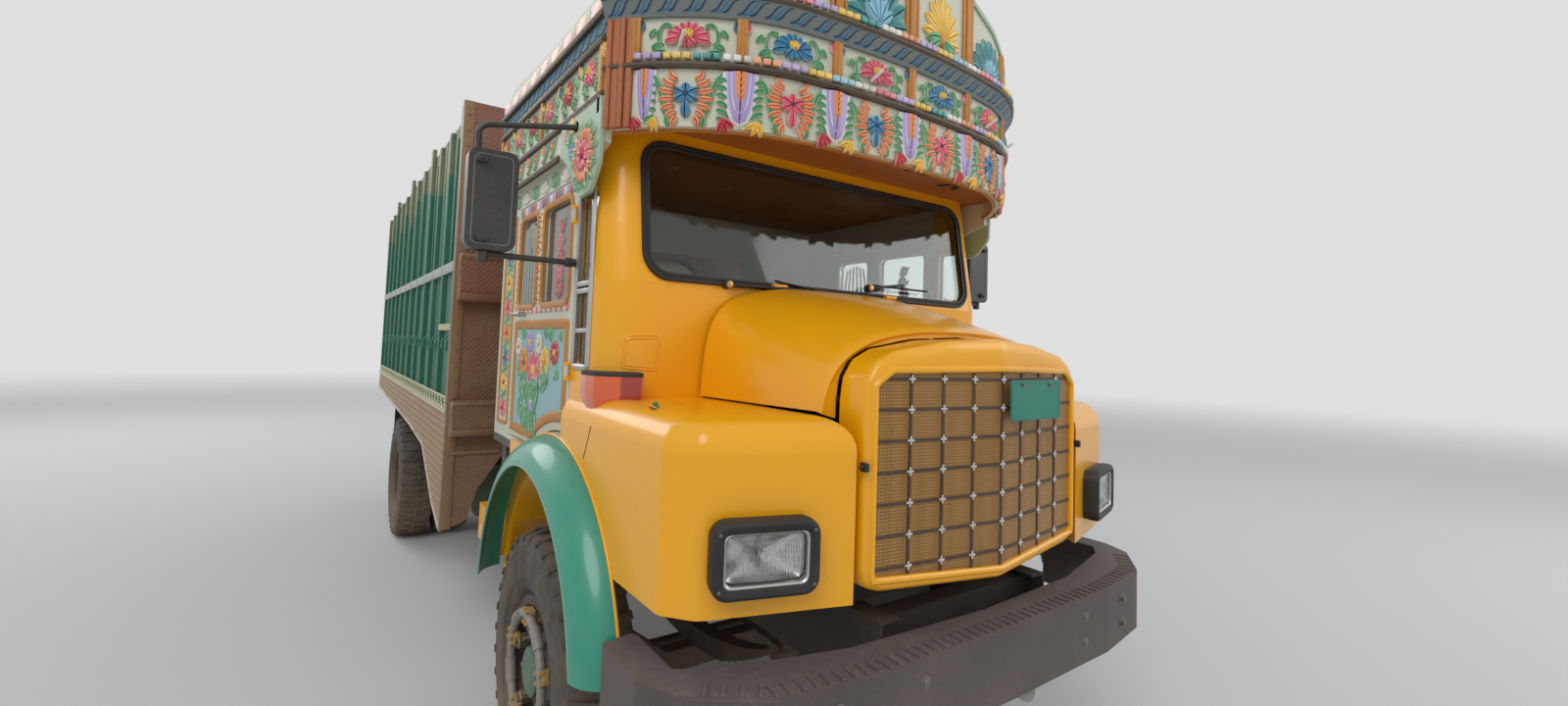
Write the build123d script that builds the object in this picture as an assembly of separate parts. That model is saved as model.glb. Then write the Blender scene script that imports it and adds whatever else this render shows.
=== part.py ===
from build123d import *
import math
import os

# Decorated truck, in millimetres. It is laid out from the front axle: x = 0 on the centre line,
# y = 0 at the front axle and growing towards the tail, z = 0 on the ground.
# At the end every piece is moved so that the origin is under the middle of the whole truck.

# Overall sizes
front_overhang = 1360
wheelbase = 4225
rear_overhang = 1855

# Wheels and tyres
tyre_radius = 525
tyre_width = 272
rim_radius = 254
rim_flange_radius = 276
rim_width = 206
rim_wall = 14
rim_flange = 10
seat_gap = 0.3
front_track_half = 1008
rear_outer_half = 1068
twin_spacing = 312
spindle_radius = 35
running_gap = 0.05
hub_radius = 84
wheel_disc_thickness = 14
guard_ring_radius = 215
guard_tube_radius = 16

# Steering
kingpin_half = 790
kingpin_radius = 20
knuckle_ear_height = 38
axle_eye_height = 110
axle_eye_radius = 48
ear_gap = 0.5
arm_length = 200
arm_thickness = 30
tie_pin_radius = 12
tie_rod_radius = 18
open_pivot_gap = 1.0

# Ladder frame
rail_bottom = 740
rail_top = 980
rail_outer = 430
rail_flange = 75
rail_wall = 8
rail_front = -1185
crossmember_width = 80

# Springs and axles
spring_centre = 392
spring_width = 70
leaf_height = 10
axle_beam_width = 80
axle_beam_height = 90
axle_beam_drop = 95
rear_tube_radius = 65
banjo_radius = 190

# Cab shell
cab_half = 1052
cab_front_y = -430
cab_back_y = 1110
cab_wall = 40
cab_floor_z = 1300
cab_floor_thickness = 40
cab_waist_z = 2020
cab_top_z = 2620
cab_corner_radius = 150
screen_lean = 95
windscreen_half = 900
windscreen_bottom = 2045
windscreen_top = 2560
windscreen_corner = 90
glass_thickness = 8
roof_thickness = 30

# Doors
door_front_y = -95
door_rear_y = 790
door_bottom = 1330
door_top = 2440
door_gap = 6
door_window_bottom = 1955
door_window_top = 2375
door_front_window = (-25, 345)
door_rear_window = (455, 735)
quarter_window_y = (-290, -135)
quarter_window_z = (1700, 2360)

door_arch_gap = 14

# Hinges: pin, barrel and its end lugs
hinge_pin_radius = 5
hinge_barrel_radius = 10
hinge_barrel_length = 44
hinge_lug_length = 12
hinge_end_gap = 0.5
door_hinge_z = (1680, 2290)
door_hinge_offset = 15
bonnet_hinge_x = 320
bonnet_hinge_z = 2048
tailgate_hinge_x = (-850, 0, 850)
tailgate_hinge_inset = 12

# Bonnet, nose and grille
bonnet_rear_y = -446
bonnet_front_y = -1100
bonnet_wall = 14
bonnet_gap = 6
bonnet_nose_gap = 12
nose_half = 555
nose_side_y = -1230
nose_centre_y = -1300
nose_bottom = 1070
nose_top = 1775
nose_peak = 1850
nose_lip = 40
grille_half = 512
grille_thickness = 20

# Fenders and arches
fender_half = 1080
fender_seam_half = 640
fender_top = 1600
fender_bottom = 1075
fender_front_outer_y = -1060
fender_front_inner_y = -1185
fender_wall = 14
arch_centre_y = -30
arch_centre_z = 660
arch_opening_radius = 645
arch_root_radius = 765
flare_reach = 118
flare_wall = 10
flare_front_z = 790
flare_rear_z = 720

# Bumper
bumper_bottom = 715
bumper_top = 945
bumper_end_y = -803
tow_hook_x = (-20, 200)
tow_hook_thickness = 32
tow_eye_radius = 22
tow_eye_y = -1262
tow_eye_z = bumper_bottom - 55

# Crown
crown_board = 32
crown_half = cab_half + crown_board
crown_low_z = 2540
crown_mid_z = 2750
crown_high_z = 2970
crown_side_top_front = 3075
crown_parapet_edge = 3150
crown_parapet_peak = 3430
crown_front_y = -845
crown_shoulder_y = -800
crown_shoulder_half = 570
crown_corner_y = -420
crown_rear_y = 1110

# Load body
body_half = 1220
body_front_y = 1520
body_floor_top = 1370
body_floor_thickness = 40
body_top = 3180
body_board = 30
body_post_depth = 25
body_post_width = 60
body_front_wall = 40
skirt_bottom = 1100
skirt_tip = 690
skirt_wall = 20
bearer_width = 90
bearer_count = 10
sill_top = 1130
tailgate_height = 840
tailgate_thickness = 45
tailgate_gap = 6

body_rear_y = wheelbase + rear_overhang
rear_axle_y = wheelbase
origin_shift = front_overhang - (front_overhang + wheelbase + rear_overhang) / 2


def block(x, y, z):
    """A rectangular block from its (low, high) pairs."""
    centre = Pos((x[0] + x[1]) / 2, (y[0] + y[1]) / 2, (z[0] + z[1]) / 2)
    return centre * Box(x[1] - x[0], y[1] - y[0], z[1] - z[0])


def plate_x(points, low, high):
    """An outline of (y, z) points, as thick as from x = low to x = high."""
    face = make_face(Polyline(*points, close=True))
    return extrude(Plane.YZ.offset(low) * face, amount=high - low)


def plate_y(points, low, high):
    """An outline of (x, z) points, as thick as from y = low to y = high."""
    face = make_face(Polyline(*points, close=True))
    return extrude(Plane.XZ.offset(-low) * face, amount=low - high)


def plate_z(points, low, high):
    """An outline of (x, y) points, as thick as from z = low to z = high."""
    face = make_face(Polyline(*points, close=True))
    return extrude(Plane.XY.offset(low) * face, amount=high - low)


def rod_x(radius, low, high, y, z):
    return Pos((low + high) / 2, y, z) * Rot(0, 90, 0) * Cylinder(radius, high - low)


def rod_y(radius, low, high, x, z):
    return Pos(x, (low + high) / 2, z) * Rot(90, 0, 0) * Cylinder(radius, high - low)


def rod_z(radius, low, high, x, y):
    return Pos(x, y, (low + high) / 2) * Cylinder(radius, high - low)


def other_side(shape):
    return mirror(shape, about=Plane.YZ)


def both_sides(shape):
    return [shape, other_side(shape)]


def turned(points, radius=0):
    """A ring turned about the x axis from its (x, radius) outline."""
    face = make_face(Polyline(*points, close=True))
    if radius:
        face = fillet(face.vertices().sort_by(Axis.Y)[-2:], radius)
    return revolve(face, Axis.X)


def tube_along(points, radius, bend):
    path = FilletPolyline(*points, radius=bend)
    return sweep(Plane(path @ 0, z_dir=path % 0) * Circle(radius), path=path)


def hinge_halves():
    """The moving barrel and the fixed pin with its two lugs, along the x axis at the origin."""
    half = hinge_barrel_length / 2
    lug = half + hinge_end_gap + hinge_lug_length
    barrel = rod_x(hinge_barrel_radius, -half, half, 0, 0)
    barrel -= rod_x(hinge_pin_radius + running_gap, -half - 1, half + 1, 0, 0)
    fixed = rod_x(hinge_pin_radius, -lug, lug, 0, 0)
    fixed += rod_x(hinge_barrel_radius, half + hinge_end_gap, lug, 0, 0)
    fixed += rod_x(hinge_barrel_radius, -lug, -half - hinge_end_gap, 0, 0)
    return barrel, fixed


nodes = {}


def keep(name, shapes):
    """Notes a node; several solids that don't touch are kept as one group."""
    if isinstance(shapes, list):
        solids = [solid for shape in shapes for solid in shape.solids()]
        nodes[name] = Compound(children=solids)
    else:
        nodes[name] = shapes


# Ladder frame: two channels with their open sides inwards, and cross members between their webs
def chassis_frame():
    rail_rear = body_rear_y - 60
    channel = [
        (rail_outer, rail_bottom), (rail_outer, rail_top),
        (rail_outer - rail_flange, rail_top), (rail_outer - rail_flange, rail_top - rail_wall),
        (rail_outer - rail_wall, rail_top - rail_wall), (rail_outer - rail_wall, rail_bottom + rail_wall),
        (rail_outer - rail_flange, rail_bottom + rail_wall), (rail_outer - rail_flange, rail_bottom),
    ]
    rail = plate_y(channel, rail_front, rail_rear)
    frame = rail + other_side(rail)
    for y in (rail_front + 60, 1330, 2350, 3300, wheelbase + 620, rail_rear - 100):
        frame += block(
            (-rail_outer + rail_wall, rail_outer - rail_wall),
            (y, y + crossmember_width),
            (rail_bottom + 110, rail_top - 20),
        )
    keep("chassis_frame", frame)


# Front axle: a dropped beam with an eye for each kingpin
def front_axle():
    low = tyre_radius - axle_beam_drop
    half_eye = axle_eye_height / 2
    beam_end = kingpin_half - axle_eye_radius + 12
    half = axle_beam_height / 2
    outline = [
        (-beam_end, tyre_radius - half_eye), (-beam_end, tyre_radius + half_eye),
        (-beam_end + 60, tyre_radius + half_eye), (-560, low + half), (560, low + half),
        (beam_end - 60, tyre_radius + half_eye), (beam_end, tyre_radius + half_eye),
        (beam_end, tyre_radius - half_eye), (beam_end - 30, tyre_radius - half_eye),
        (560, low - half), (-560, low - half), (-beam_end + 30, tyre_radius - half_eye),
    ]
    axle = plate_y(outline, -axle_beam_width / 2, axle_beam_width / 2)
    for side in (-1, 1):
        x = side * kingpin_half
        axle += rod_z(axle_eye_radius, tyre_radius - half_eye, tyre_radius + half_eye, x, 0)
    for side in (-1, 1):
        x = side * kingpin_half
        axle -= rod_z(kingpin_radius + running_gap, tyre_radius - 100, tyre_radius + 100, x, 0)
    keep("front_axle", axle)


# Knuckle of the left wheel: yoke with its kingpin, spindle, backplate and steering arm
def knuckle():
    half_eye = axle_eye_height / 2 + ear_gap
    web_inner = kingpin_half + axle_eye_radius + 7
    web_outer = web_inner + 34
    top = tyre_radius + half_eye + knuckle_ear_height
    bottom = tyre_radius - half_eye - knuckle_ear_height
    piece = block((web_inner, web_outer), (-60, 60), (bottom, top))
    for low in (bottom, tyre_radius + half_eye):
        ear = block((kingpin_half, web_outer), (-46, 46), (low, low + knuckle_ear_height))
        ear += rod_z(46, low, low + knuckle_ear_height, kingpin_half, 0)
        piece += ear
    piece += rod_z(kingpin_radius, bottom, top, kingpin_half, 0)
    piece += rod_x(spindle_radius, web_outer, front_track_half + 96, 0, tyre_radius)
    piece += rod_x(195, web_outer, web_outer + 8, 0, tyre_radius)
    arm_z = bottom + knuckle_ear_height
    arm = block((kingpin_half - 24, kingpin_half + 24), (0, arm_length), (arm_z - arm_thickness, arm_z))
    arm += rod_z(30, arm_z - arm_thickness, arm_z, kingpin_half, arm_length)
    return piece + arm


def arm_hole(radius):
    return rod_z(radius, tyre_radius - 300, tyre_radius, kingpin_half, arm_length)


def knuckles():
    keep("knuckle_left", knuckle() - arm_hole(tie_pin_radius + open_pivot_gap))
    keep("knuckle_right", other_side(knuckle() - arm_hole(tie_pin_radius + running_gap)))


def tie_rod():
    arm_bottom = tyre_radius - axle_eye_height / 2 - ear_gap - arm_thickness
    rod_z_level = arm_bottom - 24
    rod = rod_x(tie_rod_radius, -kingpin_half, kingpin_half, arm_length, rod_z_level)
    for side in (-1, 1):
        x = side * kingpin_half
        rod += rod_z(27, rod_z_level - 23, arm_bottom - ear_gap, x, arm_length)
        rod += rod_z(tie_pin_radius, rod_z_level, arm_bottom + arm_thickness + 8, x, arm_length)
    keep("tie_rod", rod)


# Wheels, each built about the x axis with its outside towards +x
def tyre():
    half = tyre_width / 2
    bead = rim_width / 2 - rim_flange - seat_gap
    low = rim_radius + seat_gap
    clear = rim_flange_radius + 6
    outline = [
        (-bead, low), (-bead, clear), (-half + 8, clear + 40), (-half, 400), (-half + 12, tyre_radius - 12),
        (-half + 30, tyre_radius), (half - 30, tyre_radius), (half - 12, tyre_radius - 12), (half, 400),
        (half - 8, clear + 40), (bead, clear), (bead, low),
    ]
    return turned(outline)


def rim(disc_inner_x, disc_outer_x, hub_low, hub_high, bore_high):
    """Rim with a coned disc from its base (inner x) to the bolting face (outer x), and its hub."""
    half = rim_width / 2
    base = rim_radius - rim_wall
    outline = [
        (-half, base), (-half, rim_flange_radius), (-half + rim_flange, rim_flange_radius),
        (-half + rim_flange, rim_radius), (half - rim_flange, rim_radius), (half - rim_flange, rim_flange_radius),
        (half, rim_flange_radius), (half, base),
    ]
    wheel = turned(outline)
    sign = 1 if disc_outer_x > disc_inner_x else -1
    disc = [
        (disc_inner_x, base + 4), (disc_inner_x + wheel_disc_thickness, base + 4),
        (disc_outer_x + wheel_disc_thickness / 2, 178), (disc_outer_x + wheel_disc_thickness / 2, hub_radius - 4),
        (disc_outer_x - wheel_disc_thickness / 2, hub_radius - 4), (disc_outer_x - wheel_disc_thickness / 2, 178),
    ]
    wheel += turned(disc)
    hub = turned([(hub_low, 0), (hub_low, hub_radius), (hub_high - 14, hub_radius), (hub_high, hub_radius - 20),
                  (hub_high, 0)])
    bore = rod_x(spindle_radius + running_gap, hub_low - 1, bore_high, 0, 0)
    return wheel + hub - bore


def front_wheels():
    place = Pos(front_track_half, 0, tyre_radius)
    web_outer = kingpin_half + axle_eye_radius + 7 + 34
    hub_low = web_outer + 14 - front_track_half
    wheel = rim(26, 62, hub_low, 118, 97)
    ring = Pos(126, 0, 0) * Rot(0, 90, 0) * Torus(guard_ring_radius, guard_tube_radius)
    wheel += ring
    for index in range(5):
        angle = math.radians(90 + 72 * index)
        y = guard_ring_radius * math.cos(angle)
        z = guard_ring_radius * math.sin(angle)
        wheel += Pos(86, y * 0.79, z * 0.79) * Rot(math.degrees(angle) - 90, 0, 0) * Box(54, 36, 40)
        wheel += Pos(118, y * 0.86, z * 0.86) * Rot(math.degrees(angle) - 90, 0, 0) * Box(16, 30, 60)
    for name, turn in (("left", lambda shape: shape), ("right", other_side)):
        keep("front_tyre_" + name, turn(place * tyre()))
        keep("front_wheel_" + name, turn(place * wheel))


def rear_wheels():
    inner_half = rear_outer_half - twin_spacing
    outer = rim(-26, -86, -144, 64, 40)
    inner = rim(26, 86, 60, 120, 121)
    bore = rod_x(spindle_radius + running_gap, -200, 200, 0, 0)
    hub_tube = turned([(inner_half + 100, 0), (inner_half + 100, hub_radius - 0.001),
                       (rear_outer_half - 100, hub_radius - 0.001), (rear_outer_half - 100, 0)])
    bore_all = rod_x(spindle_radius + running_gap, inner_half - 50, rear_outer_half + 40, 0, 0)
    wheel = Pos(rear_outer_half, 0, 0) * outer
    wheel += Pos(inner_half, 0, 0) * inner
    wheel += hub_tube
    wheel -= bore_all
    place = Pos(0, rear_axle_y, tyre_radius)
    tyres = [place * Pos(x, 0, 0) * tyre() for x in (rear_outer_half, inner_half)]
    keep("rear_tyres_left", tyres)
    keep("rear_tyres_right", [other_side(item) for item in tyres])
    keep("rear_wheels_left", place * wheel)
    keep("rear_wheels_right", other_side(place * wheel))


# Rear axle: banjo casing, tubes and the stub shafts that the twin wheels turn on
def rear_axle():
    inner_half = rear_outer_half - twin_spacing
    tube_end = inner_half - 60
    axle = rod_x(rear_tube_radius, -tube_end, tube_end, rear_axle_y, tyre_radius)
    axle += Pos(0, rear_axle_y, tyre_radius) * Sphere(banjo_radius)
    axle += rod_x(spindle_radius, -rear_outer_half - 36, rear_outer_half + 36, rear_axle_y, tyre_radius)
    axle += rod_y(70, rear_axle_y - 330, rear_axle_y, 0, tyre_radius + 20)
    for side in (-1, 1):
        seat = block((side * spring_centre - 48, side * spring_centre + 48), (rear_axle_y - 90, rear_axle_y + 90),
                     (tyre_radius - 75, tyre_radius + rear_tube_radius + 12))
        axle += seat
    keep("rear_axle", axle)


def leaf_spring(centre_y, seat_z, length, leaves, eye_z):
    """A bowed pack: each leaf is a strip of the same bow, shorter towards the axle."""
    half = length / 2
    rise = eye_z - seat_z - leaves * leaf_height
    radius = (half * half + rise * rise) / (2 * rise)
    centre_z = seat_z + radius
    pack = None
    for index in range(leaves):
        outer = radius - index * leaf_height
        inner = outer - leaf_height
        ring = Pos(0, centre_y, centre_z) * Rot(0, 90, 0) * (
            Cylinder(outer, spring_width) - Cylinder(inner, spring_width))
        reach = half * (0.34 + 0.66 * (index + 1) / leaves)
        strip = ring & block((-spring_width, spring_width), (centre_y - reach, centre_y + reach),
                             (seat_z - 5, centre_z - inner * 0.5))
        pack = strip if pack is None else pack + strip
    return pack


def leaf_springs():
    front_seat = tyre_radius - axle_beam_drop + axle_beam_height / 2
    rear_seat = tyre_radius + rear_tube_radius + 12
    table = (
        # axle y, seat z, length, leaves, eye z, hanger reach
        (0, front_seat, 1300, 8, 690),
        (rear_axle_y, rear_seat, 1400, 8, 706),
    )
    solids = []
    for centre_y, seat_z, length, leaves, eye_z in table:
        spring = leaf_spring(centre_y, seat_z, length, leaves, eye_z)
        for end in (-1, 1):
            y = centre_y + end * length / 2
            hanger = block((-22, 22), (y - 30, y + 30), (eye_z - 20, rail_bottom))
            hanger += rod_x(34, -46, 46, y, eye_z - 4)
            spring += hanger
        for side in (-1, 1):
            solids.append(Pos(side * spring_centre, 0, 0) * spring)
    keep("leaf_springs", solids)


# Engine and gearbox: one plain block, bell housing and gearbox behind
def engine_gearbox():
    block_half = 280
    engine = block((-block_half, block_half), (-760, 180), (600, 1450))
    engine += block((-340, 340), (-520, -420), (rail_top, rail_top + 60))
    engine += block((-210, 210), (180, 330), (600, 1040))
    engine += block((-150, 150), (330, 860), (640, 930))
    engine += rod_y(60, 860, 900, 0, 770)
    engine += block((-rail_outer + rail_flange - 12, rail_outer - rail_flange + 12), (-520, -420), (rail_top, rail_top + 30))
    keep("engine_gearbox", engine)


def propeller_shaft():
    start = Vector(0, 900.5, 770)
    end = Vector(0, rear_axle_y - 330.5, tyre_radius + 20)
    path = Line(start, end)
    shaft = sweep(Plane(start, z_dir=path % 0) * Circle(45), path=path)
    shaft = shaft & block((-200, 200), (start.Y + 18, end.Y - 18), (0, 1500))
    shaft += rod_y(58, start.Y, start.Y + 60, 0, start.Z - 2)
    shaft += rod_y(62, end.Y - 60, end.Y, 0, end.Z + 2)
    keep("propeller_shaft", shaft)


def radiator():
    piece = block((-380, 380), (-1010, -920), (rail_top, 1640))
    piece += block((-395, 395), (-1020, -910), (1640, 1690))
    piece += block((-395, 395), (-1020, -910), (rail_top, 1040))
    keep("radiator", piece)


def side_tanks():
    z = (rail_bottom - 60, rail_top - 30)
    bracket_z = (rail_top - 60, rail_top - 30)
    tank = block((rail_outer + 60, 960), (2050, 2950), (z[0] - 60, z[1]))
    tank = fillet(tank.edges().filter_by(Axis.Y), 60)
    for y in (2200, 2760):
        tank += block((rail_outer, rail_outer + 80), (y, y + 60), (z[0], bracket_z[1]))
    box = block((rail_outer + 60, 980), (2050, 2560), z)
    for y in (2120, 2430):
        box += block((rail_outer, rail_outer + 80), (y, y + 60), (z[0] + 30, bracket_z[1]))
    keep("side_tanks", [other_side(tank), box])


def exhaust():
    silencer = rod_y(95, 1500, 1950, rail_outer + 150, 800)
    pipe = rod_y(38, 1940, 1990, rail_outer + 150, 800)
    bracket = block((rail_outer, rail_outer + 80), (1600, 1650), (780, 900))
    bracket += block((rail_outer, rail_outer + 80), (1800, 1850), (780, 900))
    keep("exhaust", silencer + pipe + bracket)


# Bumper: a deep board bent back at its ends, from the inner and outer edges seen from above
def bumper():
    outer = [(0, -front_overhang), (580, -1353), (900, -1305), (1100, -1165), (1155, -1040), (1155, bumper_end_y)]
    inner = [(1045, bumper_end_y + 20), (1050, -1040), (960, -1100), (560, -1200), (0, -1230)]
    half = plate_z(outer + inner, bumper_bottom, bumper_top)
    beam = half + other_side(half)
    beam = fillet(beam.edges().filter_by(Axis.Z).filter_by(lambda e: abs(e.center().X) > 1000), 20)
    brackets = block((rail_outer - 60, rail_outer - 10), (-1230, rail_front + 90), (780, 900))
    for piece in both_sides(block((rail_outer - 68, rail_outer - 8.5), (-1232, rail_front), (770, 900))):
        beam += piece
    keep("bumper", beam)


def tow_hooks():
    hooks = []
    for x in tow_hook_x:
        sides = (x - tow_hook_thickness / 2, x + tow_hook_thickness / 2)
        hook = block(sides, (tow_eye_y + 7, tow_eye_y + 162), (tow_eye_z - 18, bumper_bottom - seat_gap))
        hook += rod_x(tow_eye_radius + 26, *sides, tow_eye_y, tow_eye_z)
        hook -= rod_x(tow_eye_radius, *sides, tow_eye_y, tow_eye_z)
        hooks.append(hook)
    keep("tow_hooks", hooks)


# Fender of the left side: shell with the headlamp face, the side panel and the arch
def arch_disc(radius, low, high):
    return rod_x(radius, low, high, arch_centre_y, arch_centre_z)


def headlamp():
    lamp = block((690, 990), (-1190, -1060), (1138, 1339))
    lamp = fillet(lamp.edges().filter_by(Axis.Y), 45)
    return Pos(840, -1125, 0) * Rot(0, 0, 16.5) * Pos(-840, 1125, 0) * lamp


fender_plan = [
    (nose_half + 25, nose_side_y + 8), (fender_half - 70, fender_front_outer_y - 30),
    (fender_half, fender_front_outer_y + 60), (fender_half, door_front_y - 10), (fender_seam_half, door_front_y - 10),
    (fender_seam_half, -1120),
]


def fender_body():
    """The fender's outside as a full body, rounded over at the front and along the side."""
    outer = plate_z(fender_plan, fender_bottom, fender_top)
    outer = fillet(outer.edges().filter_by(Axis.Z).sort_by(Axis.X)[-3:-1], 60)
    top_edges = outer.edges().group_by(Axis.Z)[-1].filter_by(lambda e: e.center().Y < -300 and e.center().X > 800)
    return fillet(top_edges, 95)


def fender():
    low = fender_bottom
    plan = fender_plan
    outer = fender_body()
    inset = offset(make_face(Polyline(*plan, close=True)), amount=-fender_wall, kind=Kind.INTERSECTION)
    inner = extrude(Plane.XY.offset(low - 10) * inset, amount=fender_top - fender_wall - low + 10)
    inner_edges = inner.edges().group_by(Axis.Z)[-1].filter_by(lambda e: e.center().Y < -300 and e.center().X > 800)
    inner = fillet(inner_edges, 81)
    shell = outer - inner
    side = block((fender_half - fender_wall, fender_half), (-600, 640), (700, low + 20))
    side += block((fender_half - fender_wall, fender_half), (door_front_y - 10, 640), (700, door_bottom - door_gap))
    shell += side
    liner = arch_disc(arch_opening_radius + 8, fender_seam_half, fender_half - 2)
    liner -= arch_disc(arch_opening_radius, fender_seam_half - 5, fender_half + 5)
    under_cab = block((0, 1200), (cab_front_y, 900), (960, cab_floor_z - cab_floor_thickness - seat_gap))
    liner &= block((0, 1200), (-900, cab_front_y), (960, 1500)) + under_cab
    shell -= arch_disc(arch_opening_radius + 4, fender_seam_half - 200, fender_half + 20)
    shell += liner
    front_cut = block((500, 1200), (-1300, -560), (600, low))
    return shell - front_cut - headlamp() - cab_hull(-seat_gap)


def fenders():
    keep("fenders", both_sides(fender()))


def flare():
    root = (0, arch_root_radius)
    lip = (flare_reach, arch_opening_radius + 6)
    bow = (flare_reach * 0.62, arch_root_radius - 30)
    outer_arc = ThreePointArc(root, bow, lip)
    inner_arc = ThreePointArc((0, arch_root_radius - flare_wall * 1.4), (bow[0] - 8, bow[1] - flare_wall - 4),
                              (flare_reach - flare_wall, arch_opening_radius + 6))
    face = make_face([outer_arc, Line(lip, (flare_reach - flare_wall, arch_opening_radius + 6)), inner_arc,
                      Line((0, arch_root_radius - flare_wall * 1.4), root)])
    ring = Pos(fender_half + 0.3, arch_centre_y, arch_centre_z) * revolve(face, Axis.X)
    front = block((1000, 1300), (-1000, arch_centre_y), (flare_front_z, 1600))
    rear = block((1000, 1300), (arch_centre_y, 1000), (flare_rear_z, 1600))
    return ring & (front + rear)


def arch_flares():
    keep("arch_flares", both_sides(flare()))


# Nose: the gabled surround of the grille, folded at the centre line
def nose_outline(inset):
    return [
        (-nose_half + inset, nose_bottom + inset + 30), (-nose_half + inset, nose_top - inset - 40),
        (-nose_half + inset + 60, nose_top - inset), (0, nose_peak - inset), (nose_half - inset - 60, nose_top - inset),
        (nose_half - inset, nose_top - inset - 40), (nose_half - inset, nose_bottom + inset + 30), (0, nose_bottom + inset),
    ]


def fold_y(x):
    """The nose face is a shallow V seen from above."""
    return nose_centre_y + (nose_side_y - nose_centre_y) * abs(x) / nose_half


def folded_slab(depth, back):
    """A slab that follows the V, from back behind the face to the face."""
    far = nose_half + 60
    front = [(-far, fold_y(far)), (0, fold_y(0)), (far, fold_y(far))]
    rear = [(x, y + depth) for x, y in reversed(front)]
    front = [(x, y + back) for x, y in front]
    rear = [(x, y + back) for x, y in rear]
    return plate_z(front + rear, nose_bottom - 100, nose_peak + 100)


def nose():
    outer = plate_y(nose_outline(0), nose_centre_y - 100, bonnet_front_y - bonnet_nose_gap)
    inner = plate_y(nose_outline(bonnet_wall), nose_centre_y - 200, bonnet_front_y + 100)
    tunnel = outer - inner
    tunnel &= plate_z([(-700, bonnet_front_y), (-700, fold_y(nose_half)), (-nose_half, fold_y(nose_half)),
                       (0, fold_y(0)), (nose_half, fold_y(nose_half)), (700, fold_y(nose_half)),
                       (700, bonnet_front_y)], 900, 2000)
    face = plate_y(nose_outline(0), nose_centre_y - 100, bonnet_front_y) & folded_slab(22, 0)
    face -= plate_y(nose_outline(nose_lip), nose_centre_y - 200, bonnet_front_y)
    foot = block((-rail_outer, rail_outer), (-1130, -1110), (rail_top, nose_bottom + 45))
    keep("nose", tunnel + face + foot)


def grille():
    panel = plate_y(nose_outline(nose_lip + 1), nose_centre_y - 100, bonnet_front_y) & folded_slab(grille_thickness, 6)
    keep("grille", panel)


# Bonnet: an arched shell between two sections; each section is half its width by its corner heights
def bonnet_face(y, half_low, z_low, half_top, z_side, z_top, wall):
    low_in = half_low - wall
    points_out = [(-half_low, z_low), (-half_top, z_side)]
    outer = [
        Line((-half_low, z_low), (-half_top, z_side)),
        ThreePointArc((-half_top, z_side), (-half_top * 0.55, z_side + (z_top - z_side) * 0.8), (0, z_top)),
        ThreePointArc((0, z_top), (half_top * 0.55, z_side + (z_top - z_side) * 0.8), (half_top, z_side)),
        Line((half_top, z_side), (half_low, z_low)),
    ]
    inner = [
        Line((half_low, z_low), (low_in, z_low)),
        Line((low_in, z_low), (half_top - wall, z_side - wall * 0.4)),
        ThreePointArc((half_top - wall, z_side - wall * 0.4), ((half_top - wall) * 0.55, z_side + (z_top - z_side) * 0.8 - wall),
                      (0, z_top - wall)),
        ThreePointArc((0, z_top - wall), (-(half_top - wall) * 0.55, z_side + (z_top - z_side) * 0.8 - wall),
                      (-half_top + wall, z_side - wall * 0.4)),
        Line((-half_top + wall, z_side - wall * 0.4), (-low_in, z_low)),
        Line((-low_in, z_low), (-half_low, z_low)),
    ]
    return Plane.XZ.offset(-y) * make_face(outer + inner)


def bonnet_shell(wall):
    # y, half width low, z low, half width at the shoulder, z shoulder, z centre
    table = (
        (bonnet_front_y, 606, fender_top + bonnet_gap, 577, 1738, 1868),
        (bonnet_rear_y, 660, fender_top + bonnet_gap, 640, 1950, 2036),
    )
    return loft([bonnet_face(*row, wall) for row in table], ruled=True)


def bonnet():
    barrel, fixed = hinge_halves()
    place = Pos(0, bonnet_hinge_y, bonnet_hinge_z)
    half = hinge_barrel_length / 2
    shell = bonnet_shell(bonnet_wall)
    for x in (-bonnet_hinge_x, bonnet_hinge_x):
        strap = block((x - half, x + half), (bonnet_hinge_y - 60, bonnet_hinge_y), (1985, bonnet_hinge_z + 4))
        strap -= Pos(x, 0, 0) * place * rod_x(hinge_pin_radius + running_gap, -half - 1, half + 1, 0, 0)
        strap -= block((-700, 700), (bonnet_rear_y, 0), (1900, bonnet_hinge_z - hinge_barrel_radius))
        under = bonnet_face_fill()
        shell += (strap - under) + Pos(x, 0, 0) * place * barrel
    keep("bonnet", shell)


def bonnet_face_fill():
    """The room under the bonnet's skin, out of which its hinge straps are kept."""
    faces = []
    for row in ((bonnet_front_y, 577, 1738, 1868), (bonnet_rear_y, 640, 1950, 2036)):
        y, half, z_side, z_top = row
        bow = 0.8 * (z_top - z_side)
        edges = [
            ThreePointArc((-half, z_side), (-half * 0.55, z_side + bow), (0, z_top)),
            ThreePointArc((0, z_top), (half * 0.55, z_side + bow), (half, z_side)),
            Line((half, z_side), (half, 1600)), Line((half, 1600), (-half, 1600)), Line((-half, 1600), (-half, z_side)),
        ]
        faces.append(Plane.XZ.offset(-y) * Pos(0, -bonnet_wall / 2) * make_face(edges))
    return loft(faces, ruled=True)


def headlamps():
    keep("headlamps", both_sides(headlamp()))


def indicators():
    lamp = plate_x([(-800, 1530), (-790, 1620), (-400, 1670), (-350, 1640), (-350, 1500)], 890, 1070)
    keep("indicators", both_sides(lamp - fender_body() - cab_hull(-seat_gap)))


# Cab shell: the front wraps round to the doors and leans back above the waist
def cab_region(front_y, half, radius, rear_y):
    face = make_face(Polyline((-half, rear_y), (-half, front_y), (half, front_y), (half, rear_y), close=True))
    return fillet(face.vertices().group_by(Axis.Y)[0], radius)


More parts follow.
